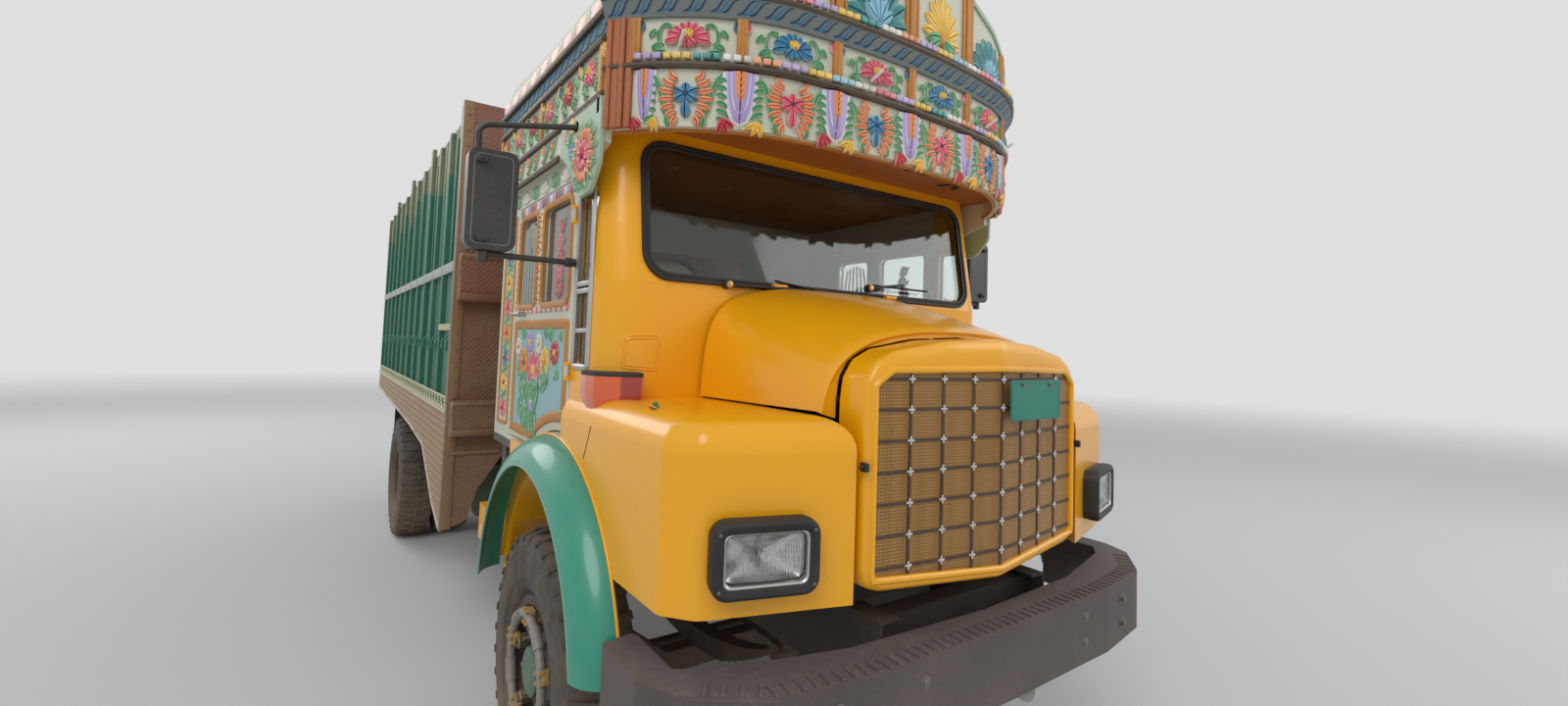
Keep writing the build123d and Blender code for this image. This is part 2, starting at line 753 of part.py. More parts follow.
def cab_hull(inset):
    table = (
        # z, front y
        (cab_floor_z - cab_floor_thickness, cab_front_y),
        (cab_waist_z, cab_front_y),
        (cab_top_z, cab_front_y + screen_lean),
    )
    faces = []
    for z, front_y in table:
        face = cab_region(front_y + inset, cab_half - inset, cab_corner_radius - inset, cab_back_y)
        faces.append(Plane.XY.offset(z) * face)
    return loft(faces, ruled=True)


def windscreen_cut(grow, low, high):
    outline = RectangleRounded(
        2 * windscreen_half + 2 * grow, windscreen_top - windscreen_bottom + 2 * grow, windscreen_corner + grow)
    centre_z = (windscreen_top + windscreen_bottom) / 2
    return extrude(Plane.XZ.offset(-low) * Pos(0, centre_z) * outline, amount=low - high)


def side_window(y, z, x, radius):
    outline = Plane.YZ.offset(x[0]) * Pos((y[0] + y[1]) / 2, (z[0] + z[1]) / 2) * RectangleRounded(
        y[1] - y[0], z[1] - z[0], radius)
    return extrude(outline, amount=x[1] - x[0])


cab_split_y = door_front_y - door_gap
bonnet_hinge_y = bonnet_rear_y - 2


def cab_shell():
    return cab_hull(0) - cab_hull(cab_wall)


def cab_front():
    shell = cab_shell() & block((-1200, 1200), (-700, cab_split_y), (cab_floor_z, cab_top_z))
    shell -= windscreen_cut(0, -700, -250)
    shell -= block((-370, 370), (-500, -300), (cab_floor_z - 50, 1560))
    for x in ((-1200, -900), (900, 1200)):
        shell -= side_window(quarter_window_y, quarter_window_z, x, 30)
    barrel, fixed = hinge_halves()
    for x in (-bonnet_hinge_x, bonnet_hinge_x):
        place = Pos(x, bonnet_hinge_y, bonnet_hinge_z)
        shell += place * fixed
        for side in (-1, 1):
            low = hinge_barrel_length / 2 + hinge_end_gap
            reach = (side * low, side * (low + hinge_lug_length))
            shell += place * block((min(reach), max(reach)), (0, cab_front_y - bonnet_hinge_y + 15), (-8, 8))
    for z in door_hinge_z:
        shell += door_hinge_fixed(z) + other_side(door_hinge_fixed(z))
    keep("cab_front", shell)


def rear_window(low, high, grow):
    outline = Plane.XZ.offset(-low) * Pos(0, 2200) * RectangleRounded(900 + 2 * grow, 320 + 2 * grow, 60)
    return extrude(outline, amount=low - high)


def cab_glass():
    middle = cab_back_y - cab_wall / 2
    pane = (cab_hull(16) - cab_hull(16 + glass_thickness)) & windscreen_cut(-0.3, -700, -250)
    solids = [pane, rear_window(middle, middle + glass_thickness, -0.3)]
    for x in ((-cab_half + 14, -cab_half + 14 + glass_thickness), (cab_half - 14 - glass_thickness, cab_half - 14)):
        y = (quarter_window_y[0] + 0.3, quarter_window_y[1] - 0.3)
        z = (quarter_window_z[0] + 0.3, quarter_window_z[1] - 0.3)
        solids.append(side_window(y, z, x, 30))
    keep("cab_glass", solids)


def cab_sides():
    walls = cab_shell() & block((-1200, 1200), (cab_split_y, cab_back_y - cab_wall), (cab_floor_z, cab_top_z))
    keep("cab_sides", [walls - both_door_outlines(door_gap)])


def cab_back():
    wall = block((-cab_half, cab_half), (cab_back_y - cab_wall, cab_back_y), (cab_floor_z, cab_top_z))
    keep("cab_back", wall - rear_window(cab_back_y - 200, cab_back_y + 200, 0))


def cab_floor():
    z = (cab_floor_z - cab_floor_thickness, cab_floor_z)
    floor = block((-cab_half, cab_half), (cab_front_y + 10, cab_back_y), z)
    hump_outer = block((-420, 420), (cab_front_y + cab_wall + 2, 340), (z[0], 1600))
    hump_inner = block((-360, 360), (cab_front_y - 10, 300), (z[0] - 10, 1560))
    floor = floor + hump_outer - hump_inner
    corner = block((900, 1100), (cab_front_y - 20, -290), (1100, 1300))
    floor -= corner
    floor -= other_side(corner)
    # y of each bearer under the floor, and half its length: the first one stays inside the arches
    for y, half in ((380, fender_seam_half - 10), (1000, cab_half - cab_wall)):
        floor += block((-half, half), (y, y + 80), (rail_top, z[0]))
    keep("cab_floor", floor)


def crown_region(front_y, shoulder_y, shoulder_half, half, corner_y, rear_y):
    centre = ThreePointArc((-shoulder_half, shoulder_y), (0, front_y), (shoulder_half, shoulder_y))
    right_mid = (-(shoulder_half + half) / 2 - 60, (shoulder_y + corner_y) / 2 - 30)
    right = ThreePointArc((-half, corner_y), right_mid, (-shoulder_half, shoulder_y))
    left = ThreePointArc((shoulder_half, shoulder_y), (-right_mid[0], right_mid[1]), (half, corner_y))
    edges = [right, centre, left, Line((half, corner_y), (half, rear_y)), Line((half, rear_y), (-half, rear_y)),
             Line((-half, rear_y), (-half, corner_y))]
    return make_face(edges)


def crown_plan(inset=0):
    return crown_region(crown_front_y + inset, crown_shoulder_y + inset, crown_shoulder_half - inset / 3,
                        crown_half - inset, crown_corner_y, crown_rear_y)


def crown_ring(low, high):
    outer = extrude(Plane.XY.offset(low) * crown_plan(), amount=high - low)
    inner = extrude(Plane.XY.offset(low) * crown_plan(crown_board), amount=high - low)
    return outer - inner


def crown_front():
    ring = crown_ring(crown_low_z, crown_high_z)
    front = ring & block((-1200, 1200), (-1000, crown_corner_y), (2000, 4000))
    keep("crown_front", front)


def crown_sides():
    top = [
        (crown_corner_y, 2500), (-200, 2440), (-60, crown_low_z), (crown_rear_y, crown_low_z), (crown_rear_y, 3060),
        (900, 3100), (300, crown_side_top_front), (crown_corner_y, crown_side_top_front),
    ]
    side = plate_x(top, crown_half - crown_board, crown_half)
    keep("crown_sides", both_sides(side))


def crown_parapet():
    ring = crown_ring(crown_high_z, crown_parapet_peak)
    front = ring & block((-1200, 1200), (-1000, crown_corner_y), (2000, 4000))
    outline = [
        (-1200, crown_high_z), (-1200, crown_parapet_edge), (-700, crown_parapet_edge + 90),
        (-380, crown_parapet_peak - 60), (0, crown_parapet_peak), (380, crown_parapet_peak - 60),
        (700, crown_parapet_edge + 90), (1200, crown_parapet_edge), (1200, crown_high_z),
    ]
    front &= plate_y(outline, -1000, 0)
    back = block((-crown_half + crown_board, crown_half - crown_board), (crown_rear_y - crown_board, crown_rear_y),
                 (cab_top_z + roof_thickness, 3000))
    keep("crown_parapet", [front, back])


def cab_roof():
    slab = extrude(Plane.XY.offset(cab_top_z) * crown_plan(crown_board), amount=roof_thickness)
    for x, y in ((-640, -560), (-330, -640), (0, -660), (330, -640), (640, -560)):
        slab -= rod_z(42, cab_top_z - 10, cab_top_z + 60, x, y)
    keep("cab_roof", slab)


# Doors: carved board whose foot is cut round the arch, with two windows
def door_outline(grow):
    x = (cab_half - cab_wall - 2 * grow, cab_half + 2 * grow)
    leaf = block(x, (door_front_y - grow, door_rear_y + grow), (door_bottom - grow, door_top + grow))
    return leaf - arch_disc(arch_root_radius + door_arch_gap - grow, 800, 1300)


def both_door_outlines(grow):
    return door_outline(grow) + other_side(door_outline(grow))


door_hinge_x = cab_half + door_hinge_offset
door_hinge_y = door_front_y - door_gap / 2


def door_hinge_place(z):
    return Pos(door_hinge_x, door_hinge_y, z) * Rot(0, 90, 0)


def door_hinge_fixed(z):
    barrel, fixed = hinge_halves()
    half = hinge_barrel_length / 2 + hinge_end_gap + hinge_lug_length
    plate = block((cab_half, cab_half + 4), (door_hinge_y - 26, cab_split_y), (z - half, z + half))
    for low, high in ((z - half, z - half + hinge_lug_length), (z + half - hinge_lug_length, z + half)):
        plate += block((cab_half, door_hinge_x), (door_hinge_y - 8, cab_split_y), (low, high))
    return plate + door_hinge_place(z) * fixed


def door():
    leaf = door_outline(0)
    for window in (door_front_window, door_rear_window):
        leaf -= side_window(window, (door_window_bottom, door_window_top), (900, 1200), 40)
    half = hinge_barrel_length / 2
    for z in door_hinge_z:
        barrel, fixed = hinge_halves()
        strap = block((cab_half, cab_half + 4), (door_front_y, door_front_y + 60), (z - half, z + half))
        strap += block((cab_half, door_hinge_x), (door_front_y, door_front_y + 8), (z - half, z + half))
        strap -= door_hinge_place(z) * rod_x(hinge_pin_radius + running_gap, -half - 1, half + 1, 0, 0)
        leaf += strap + door_hinge_place(z) * barrel
    return leaf


def door_glass():
    panes = []
    for window in (door_front_window, door_rear_window):
        y = (window[0] + 0.3, window[1] - 0.3)
        z = (door_window_bottom + 0.3, door_window_top - 0.3)
        x = (cab_half - 24, cab_half - 24 + glass_thickness)
        panes.append(side_window(y, z, x, 40))
    return panes


def doors():
    keep("door_left", door())
    keep("door_right", other_side(door()))
    keep("door_glass_left", door_glass())
    keep("door_glass_right", [other_side(pane) for pane in door_glass()])


def seats():
    solids = []
    for x in (-720, 720):
        outline = [
            (520, cab_floor_z), (480, 1500), (470, 1640), (850, 1620), (900, 2180), (1000, 2180), (1000, 1500),
            (980, cab_floor_z),
        ]
        solids.append(plate_x(outline, x - 240, x + 240))
    keep("seats", solids)


wheel_centre = Vector(-640, 120, 2010)
column_foot = Vector(-640, -330, 1560)


def dashboard():
    half = cab_half - cab_corner_radius
    dash = block((-half, half), (cab_front_y + cab_wall, -200), (1720, 1990))
    dash = fillet(dash.edges().filter_by(Axis.X).filter_by(lambda e: e.center().Y > -210), 40)
    axis = (wheel_centre - column_foot).normalized()
    start = column_foot + axis * 40
    end = wheel_centre - axis * 130
    tube = sweep(Plane(start, z_dir=axis) * Circle(34), path=Line(start, end))
    dash += tube
    dash += block((wheel_centre.X - 24, wheel_centre.X + 24), (-300, -240), (1620, 1760))
    bore = sweep(Plane(start, z_dir=axis) * Circle(16 + running_gap), path=Line(start, end + axis))
    keep("dashboard", dash - bore)


def steering_wheel():
    axis = (wheel_centre - column_foot).normalized()
    plane = Plane(wheel_centre, x_dir=(1, 0, 0), z_dir=axis)
    wheel = plane * Torus(230, 15)
    wheel += plane * Cylinder(48, 40)
    for turn in (0, 120, 240):
        wheel += plane * Rot(0, 0, turn) * Pos(130, 0, 0) * Box(200, 26, 14)
    start = column_foot + axis * 60
    wheel += sweep(Plane(start, z_dir=axis) * Circle(16), path=Line(start, wheel_centre))
    keep("steering_wheel", wheel)


def mirror_side():
    foot_y = cab_split_y - 17
    arm = tube_along(
        [(crown_half + 6, -170, 2610), (1430, -115, 2560), (1400, -115, 2097), (cab_half + 6, foot_y, 2097)], 11, 40)
    head = Pos(1375, -115, 2290) * Box(170, 60, 360)
    head = fillet(head.edges().filter_by(Axis.Y), 35)
    foot = rod_x(16, cab_half, cab_half + 14, foot_y, 2097) + rod_x(22, crown_half, crown_half + 14, -170, 2610)
    return arm + head + foot


def mirrors():
    keep("mirrors", both_sides(mirror_side()))


def cab_steps():
    step = block((900, 1100), (750, 1120), (750, 930))
    step += block((rail_outer, 920), (760, 820), (860, 910))
    step += block((rail_outer, 920), (980, 1040), (860, 910))
    keep("cab_steps", both_sides(step))


# Load body
def load_floor():
    floor_bottom = body_floor_top - body_floor_thickness
    inner = body_half - body_post_depth - body_board
    floor = block((-inner, inner), (body_front_y + body_front_wall, body_rear_y - tailgate_thickness), (floor_bottom, body_floor_top))
    sill = block((rail_outer - rail_flange, rail_outer), (body_front_y, body_rear_y - 60), (rail_top, sill_top))
    keep("load_sills", both_sides(sill))
    first = body_front_y + body_front_wall
    pitch = (body_rear_y - tailgate_thickness - bearer_width - first) / (bearer_count - 1)
    bearers = []
    for index in range(bearer_count):
        y = first + index * pitch
        bearers.append(block((-inner, inner), (y, y + bearer_width), (sill_top, floor_bottom)))
    keep("load_bearers", bearers)
    low = hinge_barrel_length / 2 + hinge_end_gap
    for x in tailgate_hinge_x:
        barrel, fixed = hinge_halves()
        floor += Pos(x, tailgate_hinge_y, tailgate_hinge_z) * fixed
        for side in (-1, 1):
            reach = (x + side * low, x + side * (low + hinge_lug_length))
            floor += block((min(reach), max(reach)), (body_rear_y - tailgate_thickness - 1, tailgate_hinge_y),
                           (tailgate_hinge_z - 8, body_floor_top))
    keep("load_floor", floor)


def load_front_wall():
    outline = [
        (-body_half, skirt_tip), (-body_half, body_top + 5), (body_half, body_top + 5), (body_half, skirt_tip),
        (1085, 743), (1041, 906), (892, 1130), (-892, 1130), (-1041, 906), (-1085, 743),
    ]
    wall = plate_y(outline, body_front_y, body_front_y + body_front_wall)
    wall = wall - block((-460, 460), (1500, 1600), (900, 1131))
    for low, high in ((1230, 1430), (2000, 2280)):
        for side in (-1, 1):
            x = (side * 945, side * 1205)
            pocket = block((min(x), max(x)), (body_front_y - 90, body_front_y), (low, high))
            pocket = fillet(pocket.edges().filter_by(Axis.X).filter_by(lambda e: e.center().Y < body_front_y - 50)
                            .sort_by(Axis.Z)[0], 70)
            wall += pocket
    keep("load_front_wall", wall)


def load_side():
    inner = body_half - body_post_depth - body_board
    y = (body_front_y + body_front_wall, body_rear_y)
    side = block((inner, inner + body_board), y, (body_floor_top - body_floor_thickness, body_top - 60))
    count = 12
    pitch = (y[1] - y[0] - body_post_width) / (count - 1)
    for index in range(count):
        top = body_top if index % 3 == 0 else body_top - 80
        start = y[0] + index * pitch
        side += block((inner + body_board, body_half), (start, start + body_post_width), (body_floor_top, top))
    side += block((inner + body_board, body_half - 6), y, (2180, 2240))
    return side


def load_sides():
    keep("load_sides", both_sides(load_side()))


def load_skirts():
    outline = [
        (body_front_y + body_front_wall, body_floor_top), (body_rear_y, body_floor_top),
        (body_rear_y, 1195), (3156, 1105), (2410, 1055), (1842, 773), (body_front_y + body_front_wall, skirt_tip),
    ]
    skirt = plate_x(outline, body_half - skirt_wall, body_half)
    floor_room = (body_half - 120, body_half - skirt_wall + 5)
    skirt -= block(floor_room, (body_front_y - 20, body_rear_y + 20), (body_floor_top - 40, body_floor_top + 30))
    keep("load_skirts", both_sides(skirt))


tailgate_hinge_y = body_rear_y - tailgate_hinge_inset
tailgate_hinge_z = body_floor_top - tailgate_hinge_inset


def tailgate():
    inner = body_half - body_post_depth - body_board - tailgate_gap
    z = (body_floor_top + tailgate_gap, body_floor_top + tailgate_height)
    gate = block((-inner, inner), (body_rear_y - tailgate_thickness, body_rear_y), z)
    half = hinge_barrel_length / 2
    for x in tailgate_hinge_x:
        barrel, fixed = hinge_halves()
        strap = block((x - half, x + half), (tailgate_hinge_y, body_rear_y - 2), (tailgate_hinge_z, z[0]))
        strap -= rod_x(hinge_pin_radius + running_gap, x - half - 1, x + half + 1, tailgate_hinge_y, tailgate_hinge_z)
        gate += strap + Pos(x, tailgate_hinge_y, tailgate_hinge_z) * barrel
    keep("tailgate", gate)


def rear_header():
    inner = body_half - body_post_depth - body_board
    beam = block((-inner, inner), (body_rear_y - 70, body_rear_y), (body_top - 160, body_top - 60))
    keep("rear_header", beam)


for make in (
    chassis_frame, front_axle, knuckles, tie_rod, front_wheels, rear_wheels, rear_axle, leaf_springs,
    engine_gearbox, propeller_shaft, radiator, side_tanks, exhaust, bumper, tow_hooks, fenders, arch_flares,
    nose, grille, bonnet, headlamps, indicators, cab_front, cab_glass, cab_sides, cab_back, cab_floor,
    crown_front, crown_sides, crown_parapet, cab_roof, doors, seats, dashboard, steering_wheel, mirrors,
    cab_steps, load_floor, load_front_wall, load_sides, load_skirts, tailgate, rear_header,
):
    make()

os.makedirs("parts", exist_ok=True)
for name, shape in nodes.items():
    export_step(Pos(0, origin_shift, 0) * shape, "parts/" + name + ".step")
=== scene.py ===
import math
import random

import bpy
import bmesh
from mathutils import Matrix, Vector
from mathutils.bvhtree import BVHTree


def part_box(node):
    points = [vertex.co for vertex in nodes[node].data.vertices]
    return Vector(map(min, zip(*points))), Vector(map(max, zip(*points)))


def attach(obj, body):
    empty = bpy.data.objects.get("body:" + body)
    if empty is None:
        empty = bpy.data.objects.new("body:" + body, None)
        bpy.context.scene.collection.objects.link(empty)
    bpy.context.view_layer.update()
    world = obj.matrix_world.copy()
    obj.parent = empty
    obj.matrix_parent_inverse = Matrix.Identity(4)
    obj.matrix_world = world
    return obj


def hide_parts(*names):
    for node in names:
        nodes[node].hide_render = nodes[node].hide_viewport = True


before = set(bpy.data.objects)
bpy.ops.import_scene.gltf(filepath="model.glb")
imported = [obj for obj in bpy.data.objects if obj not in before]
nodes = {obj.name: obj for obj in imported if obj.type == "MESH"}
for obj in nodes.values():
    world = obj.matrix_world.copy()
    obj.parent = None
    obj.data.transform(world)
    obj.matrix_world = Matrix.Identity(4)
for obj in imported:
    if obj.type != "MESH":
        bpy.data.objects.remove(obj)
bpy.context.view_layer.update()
random.seed(7)

# Every piece is laid out from the front axle: x across, y back from the axle, z up, in metres.
# placePiece() then moves it to the frame, where the axle stands at frontAxleY.
frontAxleY = sum(corner.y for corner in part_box("front_tyre_right")) / 2


def localBox(node):
    low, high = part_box(node)
    shift = Vector((0, frontAxleY, 0))
    return low - shift, high - shift


def report(text):
    print("stage:", text, flush=True)


# Selecting and shaping
def deselectAll():
    if bpy.context.object and bpy.context.object.mode != "OBJECT":
        bpy.ops.object.mode_set(mode="OBJECT")
    bpy.ops.object.select_all(action="DESELECT")


def pick(*pieces):
    deselectAll()
    for piece in pieces:
        piece.select_set(True)
    bpy.context.view_layer.objects.active = pieces[0]


def named(name):
    piece = bpy.context.object
    piece.name = name
    piece.data.name = name
    return piece


def settle(piece):
    pick(piece)
    bpy.ops.object.transform_apply(location=True, rotation=True, scale=True)
    return piece


def modify(piece, kind, **settings):
    pick(piece)
    modifier = piece.modifiers.new(kind.title(), kind)
    for key, value in settings.items():
        setattr(modifier, key, value)
    bpy.ops.object.modifier_apply(modifier=modifier.name)
    return piece


def smooth(piece, angle=35):
    pick(piece)
    bpy.ops.object.shade_smooth_by_angle(angle=math.radians(angle))
    return piece


def openMesh(piece):
    pick(piece)
    bpy.ops.object.mode_set(mode="EDIT")
    bpy.ops.mesh.select_all(action="SELECT")


def closeMesh(piece):
    # every face turned outwards
    bpy.ops.mesh.select_all(action="SELECT")
    bpy.ops.mesh.normals_make_consistent(inside=False)
    bpy.ops.object.mode_set(mode="OBJECT")
    return piece


def tidyFaces(piece, distance=0.0001):
    openMesh(piece)
    bpy.ops.mesh.remove_doubles(threshold=distance)
    return closeMesh(piece)


def roundEdges(piece, width, steps=2, angle=30):
    modify(piece, "BEVEL", width=width, segments=steps, limit_method="ANGLE", angle_limit=math.radians(angle))
    return smooth(piece)


def addBlock(name, low, high, bevel=0.0, steps=2):
    deselectAll()
    centre = [(a + b) / 2 for a, b in zip(low, high)]
    size = [abs(b - a) for a, b in zip(low, high)]
    bpy.ops.mesh.primitive_cube_add(size=1, location=centre, scale=size)
    piece = settle(named(name))
    return roundEdges(piece, bevel, steps) if bevel else piece


def addRod(name, start, end, radius, sides=16, bevel=0.0):
    deselectAll()
    start, end = Vector(start), Vector(end)
    turn = (end - start).to_track_quat("Z", "Y").to_euler()
    bpy.ops.mesh.primitive_cylinder_add(
        vertices=sides, radius=radius, depth=(end - start).length, location=(start + end) / 2, rotation=turn)
    piece = settle(named(name))
    return roundEdges(piece, bevel, 2) if bevel else smooth(piece)


def addTube(name, points, radius, sides=2, closed=False, curved=False):
    # a curve with a round section, made a mesh; curved runs a NURBS line through the route
    deselectAll()
    curve = bpy.data.curves.new(name, "CURVE")
    curve.dimensions = "3D"
    curve.bevel_depth = radius
    curve.bevel_resolution = sides
    curve.use_fill_caps = not closed
    spline = curve.splines.new("NURBS" if curved else "POLY")
    spline.points.add(len(points) - 1)
    for point, place in zip(spline.points, points):
        point.co = (*place, 1)
    spline.use_cyclic_u = closed
    if curved:
        spline.order_u = 4
        spline.use_endpoint_u = not closed
        curve.resolution_u = 6
    piece = bpy.data.objects.new(name, curve)
    bpy.context.scene.collection.objects.link(piece)
    pick(piece)
    bpy.ops.object.convert(target="MESH")
    return smooth(named(name), 60)


def addSheet(name, across, along, place, thickness=0.0, merge=False, inward=False, tint=None):
    # a grid whose corners run from (0, 0) to (1, 1), each vertex moved to place(u, v) and painted tint(u, v)
    deselectAll()
    bpy.ops.mesh.primitive_grid_add(x_subdivisions=across, y_subdivisions=along, size=2)
    piece = named(name)
    layer = piece.data.color_attributes.new("paint", "FLOAT_COLOR", "POINT") if tint else None
    for vertex in piece.data.vertices:
        u, v = (vertex.co.x + 1) / 2, (vertex.co.y + 1) / 2
        vertex.co = place(u, v)
        if tint:
            layer.data[vertex.index].color = (*tint(u, v), 1)
    if merge:
        tidyFaces(piece)
    if thickness:
        modify(piece, "SOLIDIFY", thickness=thickness, offset=1 if inward else -1, use_even_offset=True)
    return smooth(piece)


def addPlate(name, outline, low, high, axis="x", bevel=0.0, steps=2):
    # an outline of flat points, as thick as from low to high along the axis
    deselectAll()
    bpy.ops.mesh.primitive_circle_add(vertices=len(outline), radius=1, fill_type="NGON")
    piece = named(name)
    for vertex, (a, b) in zip(piece.data.vertices, outline):
        vertex.co = {"x": (low, a, b), "y": (a, low, b), "z": (a, b, low)}[axis]
    step = {"x": (high - low, 0, 0), "y": (0, high - low, 0), "z": (0, 0, high - low)}[axis]
    openMesh(piece)
    bpy.ops.mesh.extrude_region_move(TRANSFORM_OT_translate={"value": step})
    closeMesh(piece)
    return roundEdges(piece, bevel, steps) if bevel else smooth(piece)


def addTurned(name, profile, centre, sides=48, closed=False):
    # a profile of (x, radius) points turned about the line through centre along x
    points = profile + profile[:1] if closed else profile
    last = len(points) - 1

    def place(u, v):
        x, radius = points[round(u * last)]
        angle = 2 * math.pi * v
        return (centre[0] + x, centre[1] + radius * math.cos(angle), centre[2] + radius * math.sin(angle))
    return addSheet(name, last, sides, place, merge=True)


def copyOf(piece, matrix=None, name=None):
    twin = piece.copy()
    twin.data = piece.data.copy()
    if name:
        twin.name = name
    if matrix is not None:
        twin.data.transform(matrix)
        if matrix.is_negative:
            twin.data.flip_normals()
    bpy.context.scene.collection.objects.link(twin)
    return twin


def moved(piece, matrix):
    piece.data.transform(matrix)
    return piece


def mirrored(piece, name=None):
    return copyOf(piece, Matrix.Scale(-1, 4, (1, 0, 0)), name)


def joined(name, pieces):
    pick(*pieces)
    if len(pieces) > 1:
        bpy.ops.object.join()
    return named(name)


def repeated(name, piece, matrices):
    # one copy for each matrix, joined; the piece itself goes
    copies = [copyOf(piece, matrix) for matrix in matrices]
    bpy.data.objects.remove(piece)
    return joined(name, copies)


def bothSides(piece):
    twin = mirrored(piece)
    return joined(piece.name, [piece, twin])


def shift(x=0.0, y=0.0, z=0.0):
    return Matrix.Translation((x, y, z))


def turn(degrees, axis):
    return Matrix.Rotation(math.radians(degrees), 4, axis)


def bent(piece, place):
    # moves every vertex to place(point)
    for vertex in piece.data.vertices:
        vertex.co = place(vertex.co)
    piece.data.update()
    return piece


def finished(piece, finish):
    piece.data.materials.clear()
    piece.data.materials.append(paint[finish])
    return piece


def placePiece(piece, body, finish, slotName, replaces=()):
    # the last step of every piece: into the frame, painted, and tied to its body
    finished(piece, finish).data.transform(shift(y=frontAxleY))
    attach(piece, body)
    if replaces:
        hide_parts(*replaces)
    return piece


def mixed(a, b, share):
    return a + (b - a) * share


def circleThrough(a, b, c):
    # centre of the circle through three flat points
    d = 2 * (a[0] * (b[1] - c[1]) + b[0] * (c[1] - a[1]) + c[0] * (a[1] - b[1]))
    squares = [p[0] ** 2 + p[1] ** 2 for p in (a, b, c)]
    x = (squares[0] * (b[1] - c[1]) + squares[1] * (c[1] - a[1]) + squares[2] * (a[1] - b[1])) / d
    y = (squares[0] * (c[0] - b[0]) + squares[1] * (a[0] - c[0]) + squares[2] * (b[0] - a[0])) / d
    return x, y


def roundedRectangle(width, height, radius, steps=6, centre=(0, 0)):
    points = []
    corners = ((1, 1, 0), (-1, 1, 90), (-1, -1, 180), (1, -1, 270))
    for right, up, start in corners:
        x = centre[0] + right * (width / 2 - radius)
        y = centre[1] + up * (height / 2 - radius)
        for index in range(steps + 1):
            angle = math.radians(start + 90 * index / steps)
            points.append((x + radius * math.cos(angle), y + radius * math.sin(angle)))
    return points


def alongLine(points, count, closed=False):
    # count + 1 points spaced evenly along a line of points
    line = points + points[:1] if closed else points
    lengths = [0]
    for a, b in zip(line, line[1:]):
        lengths.append(lengths[-1] + math.dist(a, b))
    found = []
    for index in range(count + (0 if closed else 1)):
        found.append(pointAt(line, lengths, lengths[-1] * index / count))
    return found


def pointAt(line, lengths, distance):
    for index in range(1, len(line)):
        if distance <= lengths[index] or index == len(line) - 1:
            span = lengths[index] - lengths[index - 1]
            share = (distance - lengths[index - 1]) / span if span else 0
            return tuple(mixed(a, b, share) for a, b in zip(line[index - 1], line[index]))


# Shader groups that several materials share
colourSockets = ("Color", "Dust", "Under", "Dark", "Rust")


def feed(tree, node, links):
    # each input is given a link or a plain value
    for key, value in links.items():
        if isinstance(value, bpy.types.NodeSocket):
            tree.links.new(value, node.inputs[key])
        else:
            node.inputs[key].default_value = value
    return node


def addNode(tree, kind, links=None, **settings):
    node = tree.nodes.new(kind)
    for key, value in settings.items():
        setattr(node, key, value)
    return feed(tree, node, links or {})


def newGroup(name, inputs, outputs):
    group = bpy.data.node_groups.new(name, "ShaderNodeTree")
    for labels, way in ((inputs, "INPUT"), (outputs, "OUTPUT")):
        for label in labels:
            kind = "Color" if label in colourSockets else "Vector" if label == "Vector" else "Float"
            group.interface.new_socket(label, in_out=way, socket_type="NodeSocket" + kind)
    return group, group.nodes.new("NodeGroupInput").outputs, group.nodes.new("NodeGroupOutput").inputs


def maths(tree, operation, a, b=0.0, c=0.0, clamp=False):
    node = addNode(tree, "ShaderNodeMath", {0: a, 1: b, 2: c}, operation=operation, use_clamp=clamp)
    return node.outputs[0]


def times(tree, a, b, clamp=False):
    return maths(tree, "MULTIPLY", a, b, clamp=clamp)


def plus(tree, a, b, clamp=False):
    return maths(tree, "ADD", a, b, clamp=clamp)


def minus(tree, a, b, clamp=False):
    return maths(tree, "SUBTRACT", a, b, clamp=clamp)


def blend(tree, share, a, b):
    node = addNode(tree, "ShaderNodeMix", data_type="RGBA", clamp_result=True)
    return feed(tree, node, {0: share, 6: a, 7: b}).outputs[2]


def ramp(tree, value, low, high, start=0.0, end=1.0):
    links = {"Value": value, "From Min": low, "From Max": high, "To Min": start, "To Max": end}
    return addNode(tree, "ShaderNodeMapRange", links, interpolation_type="SMOOTHSTEP").outputs[0]


def objectCoords(tree, stretch=None):
    coords = addNode(tree, "ShaderNodeTexCoord").outputs["Object"]
    if stretch is None:
        return coords
    return addNode(tree, "ShaderNodeMapping", {"Vector": coords, "Scale": stretch}).outputs[0]


def noise(tree, scale, detail=4.0, roughness=0.6, stretch=None, vector=None):
    vector = vector or objectCoords(tree, stretch)
    links = {"Vector": vector, "Scale": scale, "Detail": detail, "Roughness": roughness}
    return addNode(tree, "ShaderNodeTexNoise", links).outputs[0]


def upward(tree):
    normal = addNode(tree, "ShaderNodeNewGeometry").outputs["Normal"]
    return addNode(tree, "ShaderNodeSeparateXYZ", {0: normal}).outputs[2]


def heightAbove(tree):
    return addNode(tree, "ShaderNodeSeparateXYZ", {0: objectCoords(tree)}).outputs[2]


def layerGroup(name, second, findMask, *inputs):
    # lays the second colour over the first where findMask() says so
    group, given, result = newGroup(name, ("Color", second, "Amount") + inputs, ("Color", "Mask"))
    mask = findMask(group, given)
    group.links.new(blend(group, mask, given["Color"], given[second]), result["Color"])
    group.links.new(mask, result["Mask"])
    return group


